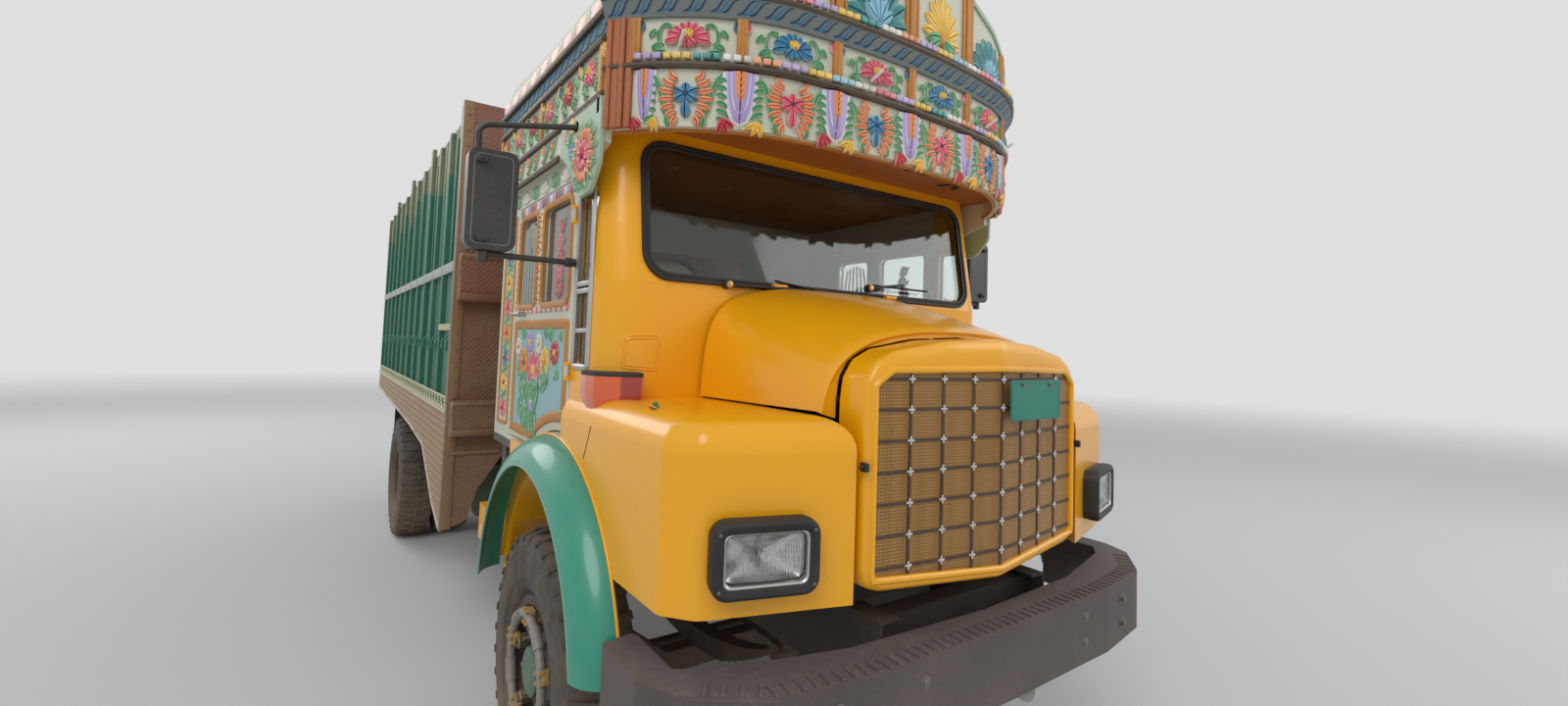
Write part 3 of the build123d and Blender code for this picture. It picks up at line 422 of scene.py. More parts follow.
def dustMask(group, given):
    # road dust: thicker low down, on faces that look up, and in drifts of noise
    drift = ramp(group, noise(group, 3.0, 6.0, 0.7), 0.38, 0.72)
    speck = ramp(group, noise(group, 46.0, 3.0, 0.7), 0.45, 0.75)
    share = maths(group, "DIVIDE", heightAbove(group), given["Splash Height"])
    low = ramp(group, share, 0.15, 1.0, 1.0, 0.0)
    top = times(group, ramp(group, upward(group), 0.3, 1.0), 0.5)
    spread = plus(group, plus(group, times(group, drift, 0.55), top), low)
    spread = times(group, spread, plus(group, times(group, speck, 0.4), 0.75))
    return times(group, spread, given["Amount"], clamp=True)


def chipMask(group, given):
    # paint chips: small spots, more of them on edges, down to an under colour
    edge = addNode(group, "ShaderNodeNewGeometry").outputs["Pointiness"]
    edge = times(group, ramp(group, edge, 0.51, 0.60), given["Edge"])
    spots = noise(group, given["Scale"], 7.0, 0.75)
    level = plus(group, spots, times(group, edge, 0.22))
    limit = minus(group, 0.80, times(group, given["Amount"], 0.17))
    return ramp(group, minus(group, level, limit), 0.0, 0.02)


def grainMask(group, given):
    # wood grain that runs along the stretch
    streaks = noise(group, given["Scale"], 6.0, 0.65, vector=given["Vector"])
    return times(group, ramp(group, streaks, 0.42, 0.68), given["Amount"])


def rustMask(group, given):
    # rust that runs down from noise seeds
    runs = noise(group, given["Scale"], 5.0, 0.65, stretch=(1, 1, 0.22))
    blots = noise(group, times(group, given["Scale"], 2.6), 5.0, 0.7)
    level = plus(group, times(group, runs, 0.6), times(group, blots, 0.4))
    limit = minus(group, 0.72, times(group, given["Amount"], 0.3))
    return ramp(group, minus(group, level, limit), 0.0, 0.10)


def makeMottle():
    # slow changes of tone, as on hand-brushed or sun-faded paint
    group, given, result = newGroup("paintMottle", ("Color", "Spread", "Scale"), ("Color", "Height"))
    wide = noise(group, given["Scale"], 5.0, 0.6)
    fine = noise(group, times(group, given["Scale"], 22.0), 3.0, 0.6)
    tone = plus(group, times(group, wide, 0.7), times(group, fine, 0.3))
    swing = times(group, minus(group, tone, 0.5), times(group, given["Spread"], 3.0))
    links = {"Color": given["Color"], "Value": plus(group, 1.0, swing)}
    group.links.new(addNode(group, "ShaderNodeHueSaturation", links).outputs[0], result["Color"])
    group.links.new(fine, result["Height"])
    return group


groups = {
    "dust": layerGroup("roadDust", "Dust", dustMask, "Splash Height"),
    "chips": layerGroup("paintChips", "Under", chipMask, "Scale", "Edge"),
    "grain": layerGroup("woodGrain", "Dark", grainMask, "Vector", "Scale"),
    "rust": layerGroup("rustStain", "Rust", rustMask, "Scale"),
    "mottle": makeMottle(),
}


def useGroup(tree, which, links):
    return feed(tree, addNode(tree, "ShaderNodeGroup", node_tree=groups[which]), links).outputs


def opaque(colour):
    return (*colour, 1.0)


def newMaterial(name):
    material = bpy.data.materials.new(name)
    material.use_nodes = True
    tree = material.node_tree
    tree.nodes.clear()
    surface = tree.nodes.new("ShaderNodeBsdfPrincipled")
    output = tree.nodes.new("ShaderNodeOutputMaterial")
    tree.links.new(surface.outputs[0], output.inputs["Surface"])
    return material, tree, surface


def setBump(tree, surface, height, strength, distance=0.002):
    links = {"Height": height, "Strength": strength, "Distance": distance}
    tree.links.new(addNode(tree, "ShaderNodeBump", links).outputs[0], surface.inputs["Normal"])


def makePaint(name, colour, roughness=0.35, coat=0.0, spread=0.08, spreadScale=1.5, chips=0.0,
              under=(0.08, 0.04, 0.02), chipScale=14.0, rust=0.0, rustScale=6.0,
              rustColour=(0.16, 0.05, 0.02), dust=0.15, dustColour=(0.36, 0.30, 0.22), splash=1.2,
              bump=0.12, metallic=0.0, edge=0.0, source=None):
    # the stack most surfaces take: tone, chips, rust, dust, then gloss and bump from the same masks
    material, tree, surface = newMaterial(name)
    base = source(tree) if source else opaque(colour)
    tone = useGroup(tree, "mottle", {"Color": base, "Spread": spread, "Scale": spreadScale})
    colourNow, rough = tone["Color"], None
    if chips:
        worn = useGroup(tree, "chips", {"Color": colourNow, "Under": opaque(under), "Amount": chips,
                                        "Scale": chipScale, "Edge": edge})
        colourNow, rough = worn["Color"], worn["Mask"]
    if rust:
        links = {"Color": colourNow, "Rust": opaque(rustColour), "Amount": rust, "Scale": rustScale}
        stained = useGroup(tree, "rust", links)
        colourNow = stained["Color"]
        rough = maths(tree, "MAXIMUM", rough, stained["Mask"]) if rough else stained["Mask"]
    links = {"Color": colourNow, "Dust": opaque(dustColour), "Amount": dust, "Splash Height": splash}
    dusty = useGroup(tree, "dust", links)
    tree.links.new(dusty["Color"], surface.inputs["Base Color"])
    rough = maths(tree, "MAXIMUM", rough, dusty["Mask"]) if rough else dusty["Mask"]
    matt = plus(tree, times(tree, rough, 0.5), roughness, clamp=True)
    matt = plus(tree, matt, times(tree, tone["Height"], 0.06), clamp=True)
    tree.links.new(matt, surface.inputs["Roughness"])
    surface.inputs["Metallic"].default_value = metallic
    if coat:
        clean = minus(tree, coat, times(tree, rough, coat), clamp=True)
        tree.links.new(clean, surface.inputs["Coat Weight"])
        surface.inputs["Coat Roughness"].default_value = 0.08
    setBump(tree, surface, minus(tree, times(tree, tone["Height"], 0.5), times(tree, rough, 0.5)), bump)
    return material


def paintAttribute(tree):
    return addNode(tree, "ShaderNodeAttribute", attribute_name="paint").outputs["Color"]


# Materials
def chequerHeight(tree, size):
    # rows of raised lozenges, each row turned across the last
    coords = addNode(tree, "ShaderNodeSeparateXYZ", {0: objectCoords(tree)})
    across, up = coords.outputs[0], coords.outputs[2]
    first = plus(tree, across, up)
    second = minus(tree, across, up)
    waves = [maths(tree, "SINE", times(tree, value, math.pi / size)) for value in (first, second)]
    return ramp(tree, maths(tree, "ABSOLUTE", times(tree, *waves)), 0.35, 0.75)


def makeChequer(name, colour, topColour, size):
    def twoTone(tree):
        share = ramp(tree, heightAbove(tree), 1.6, 2.9)
        return blend(tree, share, opaque(colour), opaque(topColour))
    material = makePaint(name, colour, roughness=0.42, spread=0.16, spreadScale=3.0, chips=0.45,
                         under=(0.30, 0.22, 0.16), chipScale=26.0, rust=0.35, rustScale=5.0,
                         rustColour=(0.10, 0.035, 0.015), dust=0.45, dustColour=(0.34, 0.26, 0.17),
                         splash=2.2, source=twoTone)
    tree = material.node_tree
    surface = next(node for node in tree.nodes if node.type == "BSDF_PRINCIPLED")
    setBump(tree, surface, chequerHeight(tree, size), 0.6, 0.003)
    return material


def makeGlass(name, tint, roughness=0.02):
    material, tree, surface = newMaterial(name)
    surface.inputs["Base Color"].default_value = opaque(tint)
    surface.inputs["Transmission Weight"].default_value = 1.0
    surface.inputs["IOR"].default_value = 1.45
    grime = ramp(tree, noise(tree, 7.0, 5.0, 0.7), 0.45, 0.8)
    matt = plus(tree, times(tree, grime, 0.10), roughness)
    tree.links.new(matt, surface.inputs["Roughness"])
    return material


def makeMetal(name, colour, roughness=0.3, wear=0.2):
    material, tree, surface = newMaterial(name)
    tone = useGroup(tree, "mottle", {"Color": opaque(colour), "Spread": 0.10, "Scale": 8.0})
    links = {"Color": tone["Color"], "Dust": opaque((0.30, 0.26, 0.20)), "Amount": wear, "Splash Height": 1.5}
    dusty = useGroup(tree, "dust", links)
    tree.links.new(dusty["Color"], surface.inputs["Base Color"])
    surface.inputs["Metallic"].default_value = 1.0
    matt = plus(tree, times(tree, dusty["Mask"], 0.5), roughness, clamp=True)
    tree.links.new(matt, surface.inputs["Roughness"])
    setBump(tree, surface, tone["Height"], 0.1)
    return material


def makeBoards(name, colour, worn, grainStretch, amount=0.5, wearLine=None):
    # painted planks: grain shows through, and bare wood where the paint has gone
    def plankPaint(tree):
        coords = objectCoords(tree, grainStretch)
        bare = useGroup(tree, "grain", {"Color": opaque(worn), "Dark": opaque([c * 0.45 for c in worn]),
                                        "Vector": coords, "Amount": 0.8, "Scale": 24.0})
        painted = useGroup(tree, "grain", {"Color": opaque(colour), "Dark": opaque([c * 0.6 for c in colour]),
                                           "Vector": coords, "Amount": 0.5, "Scale": 18.0})
        patches = noise(tree, 3.4, 7.0, 0.72, stretch=(1, 1, 0.45))
        limit = 0.78 - amount * 0.3
        if wearLine:
            high = ramp(tree, heightAbove(tree), wearLine[0], wearLine[1])
            limit = minus(tree, limit, times(tree, high, wearLine[2]))
        share = ramp(tree, minus(tree, patches, limit), 0.0, 0.05)
        return blend(tree, share, painted["Color"], bare["Color"])
    return makePaint(name, colour, roughness=0.5, spread=0.14, spreadScale=2.5, dust=0.22,
                     dustColour=(0.40, 0.36, 0.27), splash=1.9, bump=0.3, source=plankPaint)


def makeTyreRubber():
    def rubber(tree):
        dust = ramp(tree, noise(tree, 9.0, 6.0, 0.7), 0.35, 0.7)
        return blend(tree, dust, opaque((0.040, 0.038, 0.036)), opaque((0.105, 0.088, 0.068)))
    return makePaint("tyreRubber", (0.05, 0.05, 0.05), roughness=0.72, spread=0.2, spreadScale=6.0,
                     chips=0.3, under=(0.22, 0.17, 0.12), chipScale=20.0, dust=0.55,
                     dustColour=(0.27, 0.20, 0.13), splash=0.9, bump=0.35, source=rubber)


paint = {
    "yellow": makePaint("bodyYellow", (0.95, 0.43, 0.0), roughness=0.26, coat=0.30, spread=0.035,
                        spreadScale=1.2, chips=0.10, under=(0.16, 0.07, 0.02), chipScale=9.0, dust=0.09,
                        splash=1.0, dustColour=(0.50, 0.28, 0.08), bump=0.05, edge=0.5),
    "flare": makePaint("flareGreen", (0.008, 0.30, 0.20), roughness=0.28, coat=0.5, spread=0.05, chips=0.35,
                       under=(0.05, 0.06, 0.045), chipScale=9.0, rust=0.12, dust=0.25,
                       dustColour=(0.35, 0.33, 0.24), splash=1.1, bump=0.08),
    "chassis": makePaint("chassisBlack", (0.018, 0.017, 0.016), roughness=0.55, spread=0.2, rust=0.45,
                         rustColour=(0.07, 0.03, 0.015), dust=0.5, dustColour=(0.17, 0.13, 0.09),
                         splash=1.4, bump=0.3),
    "iron": makePaint("axleIron", (0.05, 0.043, 0.037), roughness=0.6, spread=0.2, rust=0.6,
                      rustColour=(0.10, 0.04, 0.02), dust=0.6, dustColour=(0.22, 0.17, 0.11), splash=1.3,
                      bump=0.4, metallic=0.3),
    "engine": makePaint("engineIron", (0.06, 0.062, 0.06), roughness=0.6, spread=0.2, rust=0.4, dust=0.4,
                        dustColour=(0.15, 0.11, 0.08), splash=1.4, bump=0.35, metallic=0.4),
    "tank": makePaint("tankPaint", (0.06, 0.12, 0.08), roughness=0.4, spread=0.1, chips=0.4, rust=0.35,
                      dust=0.5, splash=1.2),
    "exhaust": makePaint("exhaustSteel", (0.16, 0.09, 0.055), roughness=0.6, spread=0.25, rust=0.8,
                         rustColour=(0.13, 0.05, 0.02), dust=0.4, metallic=0.5, bump=0.4),
    "bumper": makePaint("bumperBlack", (0.060, 0.048, 0.047), roughness=0.46, spread=0.22, spreadScale=4.0,
                        chips=0.65, under=(0.21, 0.165, 0.155), chipScale=17.0, rust=0.30,
                        rustColour=(0.10, 0.045, 0.025), dust=0.42, dustColour=(0.22, 0.18, 0.16),
                        splash=1.6, bump=0.35),
    "hook": makePaint("hookWhite", (0.62, 0.62, 0.58), roughness=0.4, chips=0.5, under=(0.15, 0.09, 0.06),
                      rust=0.35, dust=0.3),
    "grille": makePaint("grilleBronze", (0.42, 0.215, 0.055), roughness=0.34, spread=0.12, chips=0.3,
                        dust=0.2, splash=1.2, metallic=0.25, coat=0.2),
    "grilleDark": makePaint("grilleDark", (0.060, 0.030, 0.016), roughness=0.5, spread=0.15, dust=0.25),
    "lampBlack": makePaint("lampBlack", (0.012, 0.012, 0.012), roughness=0.35, spread=0.1, dust=0.25,
                           dustColour=(0.2, 0.17, 0.13), splash=1.0),
    "rubber": makePaint("gasketRubber", (0.014, 0.013, 0.013), roughness=0.55, spread=0.1, dust=0.2,
                        dustColour=(0.16, 0.14, 0.12)),
    "amber": makePaint("indicatorAmber", (0.62, 0.065, 0.008), roughness=0.12, coat=1.0, spread=0.10,
                       dust=0.15, bump=0.02),
    "indicator": makePaint("indicatorLens", (1, 1, 1), roughness=0.10, coat=1.0, spread=0.06, dust=0.10,
                           bump=0.02, source=paintAttribute),
    "flareLip": makePaint("flareLip", (0.20, 0.42, 0.34), roughness=0.4, spread=0.12, chips=0.5,
                          under=(0.12, 0.10, 0.07), rust=0.2, dust=0.25),
    "mirrorLine": makePaint("mirrorLine", (0.16, 0.16, 0.155), roughness=0.35, spread=0.1, dust=0.2),
    "orangeWood": makeBoards("orangeTimber", (0.56, 0.22, 0.035), (0.42, 0.24, 0.10), (9, 9, 1.4), 0.35),
    "orangeRail": makeBoards("orangeRail", (0.56, 0.22, 0.035), (0.42, 0.24, 0.10), (9, 1.4, 9), 0.35),
    "bandGround": makePaint("bandGround", (0.17, 0.20, 0.19), roughness=0.5, spread=0.16, spreadScale=4.0,
                            chips=0.3, under=(0.20, 0.13, 0.08), chipScale=18.0, dust=0.2, bump=0.25),
    "cornerWood": makeBoards("cornerBoardPaint", (0.44, 0.135, 0.050), (0.34, 0.20, 0.12), (12, 12, 1.2),
                             0.40),
    "paleGreen": makePaint("paleGreen", (0.38, 0.50, 0.36), roughness=0.5, spread=0.12, chips=0.4,
                           under=(0.22, 0.13, 0.08), chipScale=18.0, dust=0.2, bump=0.2),
    "ground": makePaint("creamGround", (0.62, 0.62, 0.50), roughness=0.5, spread=0.12, spreadScale=3.0,
                        chips=0.3, under=(0.25, 0.17, 0.10), chipScale=18.0, dust=0.2,
                        dustColour=(0.34, 0.28, 0.20), bump=0.25),
    "fieldBlue": makePaint("doorField", (0.30, 0.50, 0.52), roughness=0.5, spread=0.14, chips=0.3,
                           under=(0.30, 0.24, 0.16), chipScale=16.0, dust=0.25, bump=0.15),
    "moulding": makePaint("mouldingDark", (0.085, 0.062, 0.040), roughness=0.5, spread=0.2, chips=0.5,
                          under=(0.30, 0.20, 0.10), chipScale=24.0, dust=0.3),
    "carved": makePaint("carvedPaint", (1, 1, 1), roughness=0.42, coat=0.15, spread=0.07, spreadScale=5.0,
                        chips=0.18, under=(0.30, 0.22, 0.14), chipScale=22.0, dust=0.13,
                        dustColour=(0.33, 0.27, 0.20), bump=0.15, source=paintAttribute),
    "soffit": makePaint("soffitOrange", (0.40, 0.13, 0.022), roughness=0.42, spread=0.10, spreadScale=2.0,
                        dust=0.1, chips=0.12, under=(0.10, 0.04, 0.02), bump=0.1),
    # painted shade: near-black for what is seen through the grille's mesh and the cuts in the roof board
    "paintedShade": makePaint("paintedShade", (0.025, 0.010, 0.005), roughness=0.6, spread=0.2, dust=0.05),
    "floor": makePaint("cabFloorGrey", (0.10, 0.095, 0.085), roughness=0.7, spread=0.25, chips=0.5,
                       dust=0.5, bump=0.3),
    "vinyl": makePaint("seatVinyl", (0.13, 0.035, 0.022), roughness=0.42, spread=0.12, chips=0.15, dust=0.2,
                       bump=0.25),
    "plastic": makePaint("dashPlastic", (0.022, 0.021, 0.020), roughness=0.5, spread=0.1, dust=0.25,
                         bump=0.25),
    "mirror": makePaint("mirrorShell", (0.022, 0.022, 0.023), roughness=0.30, spread=0.1, chips=0.15,
                        under=(0.12, 0.11, 0.10), dust=0.22, dustColour=(0.25, 0.22, 0.19), splash=3.4,
                        bump=0.1),
    "chequer": makeChequer("chequerBrown", (0.200, 0.085, 0.042), (0.235, 0.095, 0.060), 0.030),
    "boardGreen": makeBoards("boardGreen", (0.008, 0.135, 0.075), (0.17, 0.20, 0.10), (14, 14, 1.2), 0.30,
                             (2.62, 3.0, 0.30)),
    "bedWood": makeBoards("bedPlanks", (0.15, 0.105, 0.065), (0.22, 0.17, 0.12), (14, 1.0, 14), 0.6),
    "whiteRail": makePaint("railWhite", (0.42, 0.45, 0.40), roughness=0.5, spread=0.12, chips=0.6,
                           under=(0.09, 0.05, 0.03), chipScale=11.0, rust=0.45, dust=0.3),
    "skirt": makePaint("skirtTan", (0.34, 0.205, 0.105), roughness=0.5, spread=0.14, spreadScale=3.0,
                       chips=0.35, under=(0.12, 0.06, 0.035), chipScale=20.0, rust=0.40,
                       rustColour=(0.16, 0.07, 0.03), dust=0.45, dustColour=(0.36, 0.29, 0.19), splash=1.5),
    "creamStrip": makePaint("creamStrip", (0.56, 0.54, 0.34), roughness=0.5, spread=0.12, chips=0.5,
                            under=(0.05, 0.16, 0.09), chipScale=14.0, rust=0.2, dust=0.3, bump=0.2),
    "hookGreen": makePaint("hookGreen", (0.03, 0.20, 0.12), roughness=0.45, chips=0.5, rust=0.5, dust=0.3),
    "skirtEdge": makePaint("skirtEdge", (0.58, 0.50, 0.43), roughness=0.5, spread=0.14, chips=0.6,
                           under=(0.38, 0.10, 0.08), chipScale=12.0, rust=0.3, dust=0.35),
    "wallEdge": makePaint("wallEdge", (0.26, 0.14, 0.065), roughness=0.45, spread=0.14, chips=0.4,
                          under=(0.12, 0.07, 0.04), rust=0.3, dust=0.35, splash=2.0),
    "wallStep": makePaint("wallStep", (0.21, 0.095, 0.042), roughness=0.36, coat=0.2, spread=0.12, chips=0.4,
                          under=(0.30, 0.24, 0.18), rust=0.35, dust=0.35, splash=2.0),
    "red": makePaint("panelRed", (0.28, 0.018, 0.010), roughness=0.45, spread=0.12, rust=0.2, dust=0.3,
                     splash=1.4),
    "tyre": makeTyreRubber(),
    "wheelGrey": makePaint("wheelDark", (0.045, 0.040, 0.037), roughness=0.5, spread=0.2, chips=0.4,
                           under=(0.12, 0.10, 0.09), rust=0.5, rustColour=(0.10, 0.04, 0.02), dust=0.5,
                           dustColour=(0.25, 0.19, 0.12), splash=1.1),
    "wheelGreen": makePaint("wheelGreen", (0.010, 0.17, 0.11), roughness=0.42, chips=0.4, rust=0.25, dust=0.5,
                            dustColour=(0.25, 0.19, 0.12)),
    "bracketYellow": makePaint("bracketYellow", (0.45, 0.26, 0.04), roughness=0.45, chips=0.5, rust=0.45,
                               dust=0.4),
    "guard": makePaint("guardGrey", (0.26, 0.25, 0.24), roughness=0.4, chips=0.4, rust=0.4, dust=0.35,
                       metallic=0.2),
    "plate": makePaint("plateGreen", (0.006, 0.215, 0.155), roughness=0.35, spread=0.05, chips=0.25,
                       under=(0.3, 0.3, 0.28), dust=0.15),
    "tailRed": makePaint("tailRed", (0.35, 0.010, 0.008), roughness=0.15, coat=1.0, spread=0.08, dust=0.2),
    "chrome": makeMetal("brightMetal", (0.62, 0.62, 0.60), 0.16, 0.25),
    "alloy": makeMetal("windowAlloy", (0.50, 0.50, 0.49), 0.34, 0.35),
    "steel": makeMetal("wornSteel", (0.20, 0.185, 0.17), 0.42, 0.5),
    "gilt": makeMetal("pivotGilt", (0.55, 0.36, 0.16), 0.35, 0.2),
    "glass": makeGlass("cabGlass", (0.80, 0.86, 0.84)),
    "lens": makeGlass("lampLens", (0.93, 0.95, 0.95), 0.03),
}
report("materials")


# CAD nodes that keep their own shape take these finishes
nodeFinish = {
    "yellow": ("cab_front", "fenders", "nose", "bonnet", "cab_steps"),
    "flare": ("arch_flares",),
    "chassis": ("chassis_frame", "radiator"),
    "iron": ("front_axle", "rear_axle", "leaf_springs", "propeller_shaft", "knuckle_right", "knuckle_left",
             "tie_rod"),
    "engine": ("engine_gearbox",), "tank": ("side_tanks",), "exhaust": ("exhaust",), "bumper": ("bumper",),
    "hook": ("tow_hooks",), "grille": ("grille",), "lampBlack": ("headlamps",), "amber": ("indicators",),
    "glass": ("cab_glass", "door_glass_right", "door_glass_left"),
    "ground": ("cab_sides", "cab_back", "crown_front", "crown_sides", "crown_parapet", "door_right",
               "door_left"),
    "soffit": ("cab_roof",), "floor": ("cab_floor",), "vinyl": ("seats",),
    "plastic": ("dashboard", "steering_wheel"), "mirror": ("mirrors",), "chequer": ("load_front_wall",),
    "boardGreen": ("load_sides", "tailgate", "rear_header"),
    "bedWood": ("load_floor", "load_bearers", "load_sills"), "skirt": ("load_skirts",),
    "tyre": ("front_tyre_right", "front_tyre_left", "rear_tyres_right", "rear_tyres_left"),
    "wheelGrey": ("front_wheel_right", "front_wheel_left", "rear_wheels_right", "rear_wheels_left"),
}
for finish, members in nodeFinish.items():
    for member in members:
        finished(nodes[member], finish)
report("finishes on the CAD nodes")


# Carved work: every leaf, petal and shield is a swelling strip along a short curve
tones = {
    # main, pale edge, dark vein
    "green": ((0.085, 0.34, 0.14), (0.55, 0.76, 0.48), (0.02, 0.15, 0.06)),
    "peach": ((0.84, 0.27, 0.11), (0.92, 0.62, 0.44), (0.42, 0.09, 0.04)),
    "pink": ((0.74, 0.10, 0.17), (0.92, 0.56, 0.55), (0.34, 0.02, 0.05)),
    "red": ((0.50, 0.015, 0.035), (0.84, 0.34, 0.28), (0.20, 0.005, 0.012)),
    "blue": ((0.03, 0.19, 0.37), (0.36, 0.62, 0.72), (0.006, 0.04, 0.12)),
    "navy": ((0.016, 0.06, 0.13), (0.20, 0.40, 0.48), (0.004, 0.015, 0.04)),
    "lilac": ((0.42, 0.32, 0.60), (0.78, 0.72, 0.86), (0.09, 0.05, 0.20)),
    "yellow": ((0.88, 0.52, 0.05), (0.93, 0.78, 0.34), (0.52, 0.20, 0.02)),
    "white": ((0.74, 0.72, 0.64), (0.86, 0.85, 0.78), (0.40, 0.34, 0.28)),
    "teal": ((0.012, 0.20, 0.21), (0.22, 0.56, 0.55), (0.003, 0.06, 0.07)),
    "orange": ((0.72, 0.24, 0.02), (0.90, 0.52, 0.12), (0.30, 0.07, 0.01)),
    "sky": ((0.22, 0.48, 0.62), (0.66, 0.82, 0.88), (0.03, 0.14, 0.25)),
}
# across a leaf: side, height and tone, from a line of painted shade at one edge, where the leaf dips into the
# board, over the vein to the other
leafSection = (
    (-1.0, -0.25, "line"), (-0.93, 0.62, "edge"), (-0.70, 0.92, "main"), (-0.15, 1.0, "main"),
    (0.0, 0.66, "vein"), (0.15, 1.0, "main"), (0.70, 0.92, "main"), (0.93, 0.62, "edge"),
    (1.0, -0.25, "line"), (-1.0, -0.25, "line"),
)


def bezier(points, t):
    while len(points) > 1:
        points = [tuple(mixed(a, b, t) for a, b in zip(p, q)) for p, q in zip(points, points[1:])]
    return points[0]


def petalShape(t):
    return math.sin(math.pi * t) ** 0.75


def dropShape(t):
    return math.sin(math.pi * t ** 1.7) ** 0.8


def bladeShape(t):
    return math.sin(math.pi * t ** 0.6) ** 0.8


def scrollShape(t):
    return min(1.0, 5 * t + 0.25) * (1 - t) ** 0.45


def shieldShape(t):
    return math.sqrt(max(0.0, 1 - t ** 2.1))


def addLeaf(line, half, tone, rise=0.012, shape=petalShape, steps=9):
    main, edge, vein = tones[tone]
    # the line tone is painted shade: a dark rim where the leaf meets the board
    colours = {"main": main, "edge": edge, "vein": vein, "line": [c * 0.4 for c in vein]}
    last = len(leafSection) - 1

    def place(u, v):
        side, height = leafSection[round(u * last)][:2]
        x, z = bezier(line, v)
        ahead, behind = bezier(line, min(v + 0.02, 1)), bezier(line, max(v - 0.02, 0))
        run = math.dist(ahead, behind)
        width = half * shape(v)
        across = ((behind[1] - ahead[1]) / run * side * width, (ahead[0] - behind[0]) / run * side * width)
        lift = rise * height * min(1.0, 0.35 + shape(v))
        return (x + across[0], -lift, z + across[1])
    return addSheet("leaf", last, steps, place, merge=True,
                    tint=lambda u, v: colours[leafSection[round(u * last)][2]])


def flatTurn(degrees, x=0.0, z=0.0, size=1.0):
    return shift(x, 0, z) @ turn(-degrees, "Y") @ Matrix.Scale(size, 4)


def addKnob(radius, tone, rise=0.014):
    deselectAll()
    bpy.ops.mesh.primitive_uv_sphere_add(segments=12, ring_count=6, radius=1, scale=(radius, rise, radius))
    return tintAll(settle(named("knob")), tones[tone][0])


def tintAll(piece, colour):
    layer = piece.data.color_attributes.new("paint", "FLOAT_COLOR", "POINT")
    for entry in layer.data:
        entry.color = (*colour, 1)
    return smooth(piece, 40)


def spray(leaf, angles, x=0.0, z=0.0, sizes=None):
    # copies of one leaf fanned out from a point; the leaf itself goes
    sizes = sizes or [1] * len(angles)
    places = [flatTurn(angle, x, z, size) for angle, size in zip(angles, sizes)]
    return repeated("spray", leaf, places)


def withMirror(pieces):
    return [joined("half", pieces)] + [mirrored(bpy.context.object)]


def makeLongFlower(tone):
    # the hanging flower in the middle of a lower panel
    parts = [addLeaf([(0, 0.0), (0, -0.085)], 0.017, tone, 0.02, dropShape)]
    parts.append(spray(addLeaf([(0, 0), (0, 0.042)], 0.016, tone, 0.018), (-125, -62, 0, 62, 125)))
    parts.append(addKnob(0.010, "navy" if tone != "navy" else "yellow", 0.024))
    return joined("longFlower", parts)


def makeLowerPanel(tone):
    # peach leaves round the flower, green scrolls outside them
    side = []
    for index in range(7):
        angle = 30 + index * 22
        foot = (0.018 + 0.016 * math.sin(math.radians(angle)), 0.050 - index * 0.022)
        reach = 0.056 - 0.004 * abs(index - 2)
        tip = (foot[0] + reach * math.sin(math.radians(angle)),
               foot[1] + reach * math.cos(math.radians(angle)))
        bend = (mixed(foot[0], tip[0], 0.6) + 0.012, mixed(foot[1], tip[1], 0.3))
        side.append(addLeaf([foot, bend, tip], 0.0125, "peach", 0.017, bladeShape))
    side.append(addLeaf([(0.105, 0.075), (0.060, 0.010), (0.085, -0.060), (0.045, -0.098)], 0.0115, "green",
                        0.012, scrollShape))
    for index in range(6):
        z = 0.060 - index * 0.028
        side.append(addLeaf([(0.092, z), (0.120, z + 0.002), (0.130, z - 0.026)], 0.0095, "green", 0.012,
                            bladeShape))
    side.append(addLeaf([(0.050, -0.072), (0.062, -0.092), (0.050, -0.116)], 0.010, "green", 0.014))
    parts = withMirror(side)
    parts.append(copyOf(makeLongFlower(tone)))
    bpy.data.objects.remove(bpy.data.objects["longFlower"])
    return joined("lowerPanel", parts)


def makeShield():
    # three nested shields over a ribbed core, with a tulip on each side of the tip
    parts = []
    for width, top, low, tone, rise in (
            (0.066, 0.092, -0.098, "white", 0.010), (0.060, 0.092, -0.090, "lilac", 0.014),
            (0.043, 0.092, -0.062, "white", 0.017), (0.039, 0.092, -0.055, "lilac", 0.020),
            (0.024, 0.092, -0.022, "peach", 0.024)):
        parts.append(addLeaf([(0, top), (0, low)], width, tone, rise, shieldShape, 12))
    for index in range(4):
        z = 0.080 - index * 0.022
        parts.append(addLeaf([(-0.015, z), (0, z - 0.009), (0.015, z)], 0.0045, "yellow", 0.028))
    for sign, tone in ((-1, "red"), (1, "yellow")):
        parts.append(moved(spray(addLeaf([(0, 0.012), (0.004, -0.020), (0, -0.050)], 0.012, tone, 0.018),
                                 (-38, 0, 38)), flatTurn(sign * -24, sign * 0.062, -0.078)))
    return joined("shield", parts)


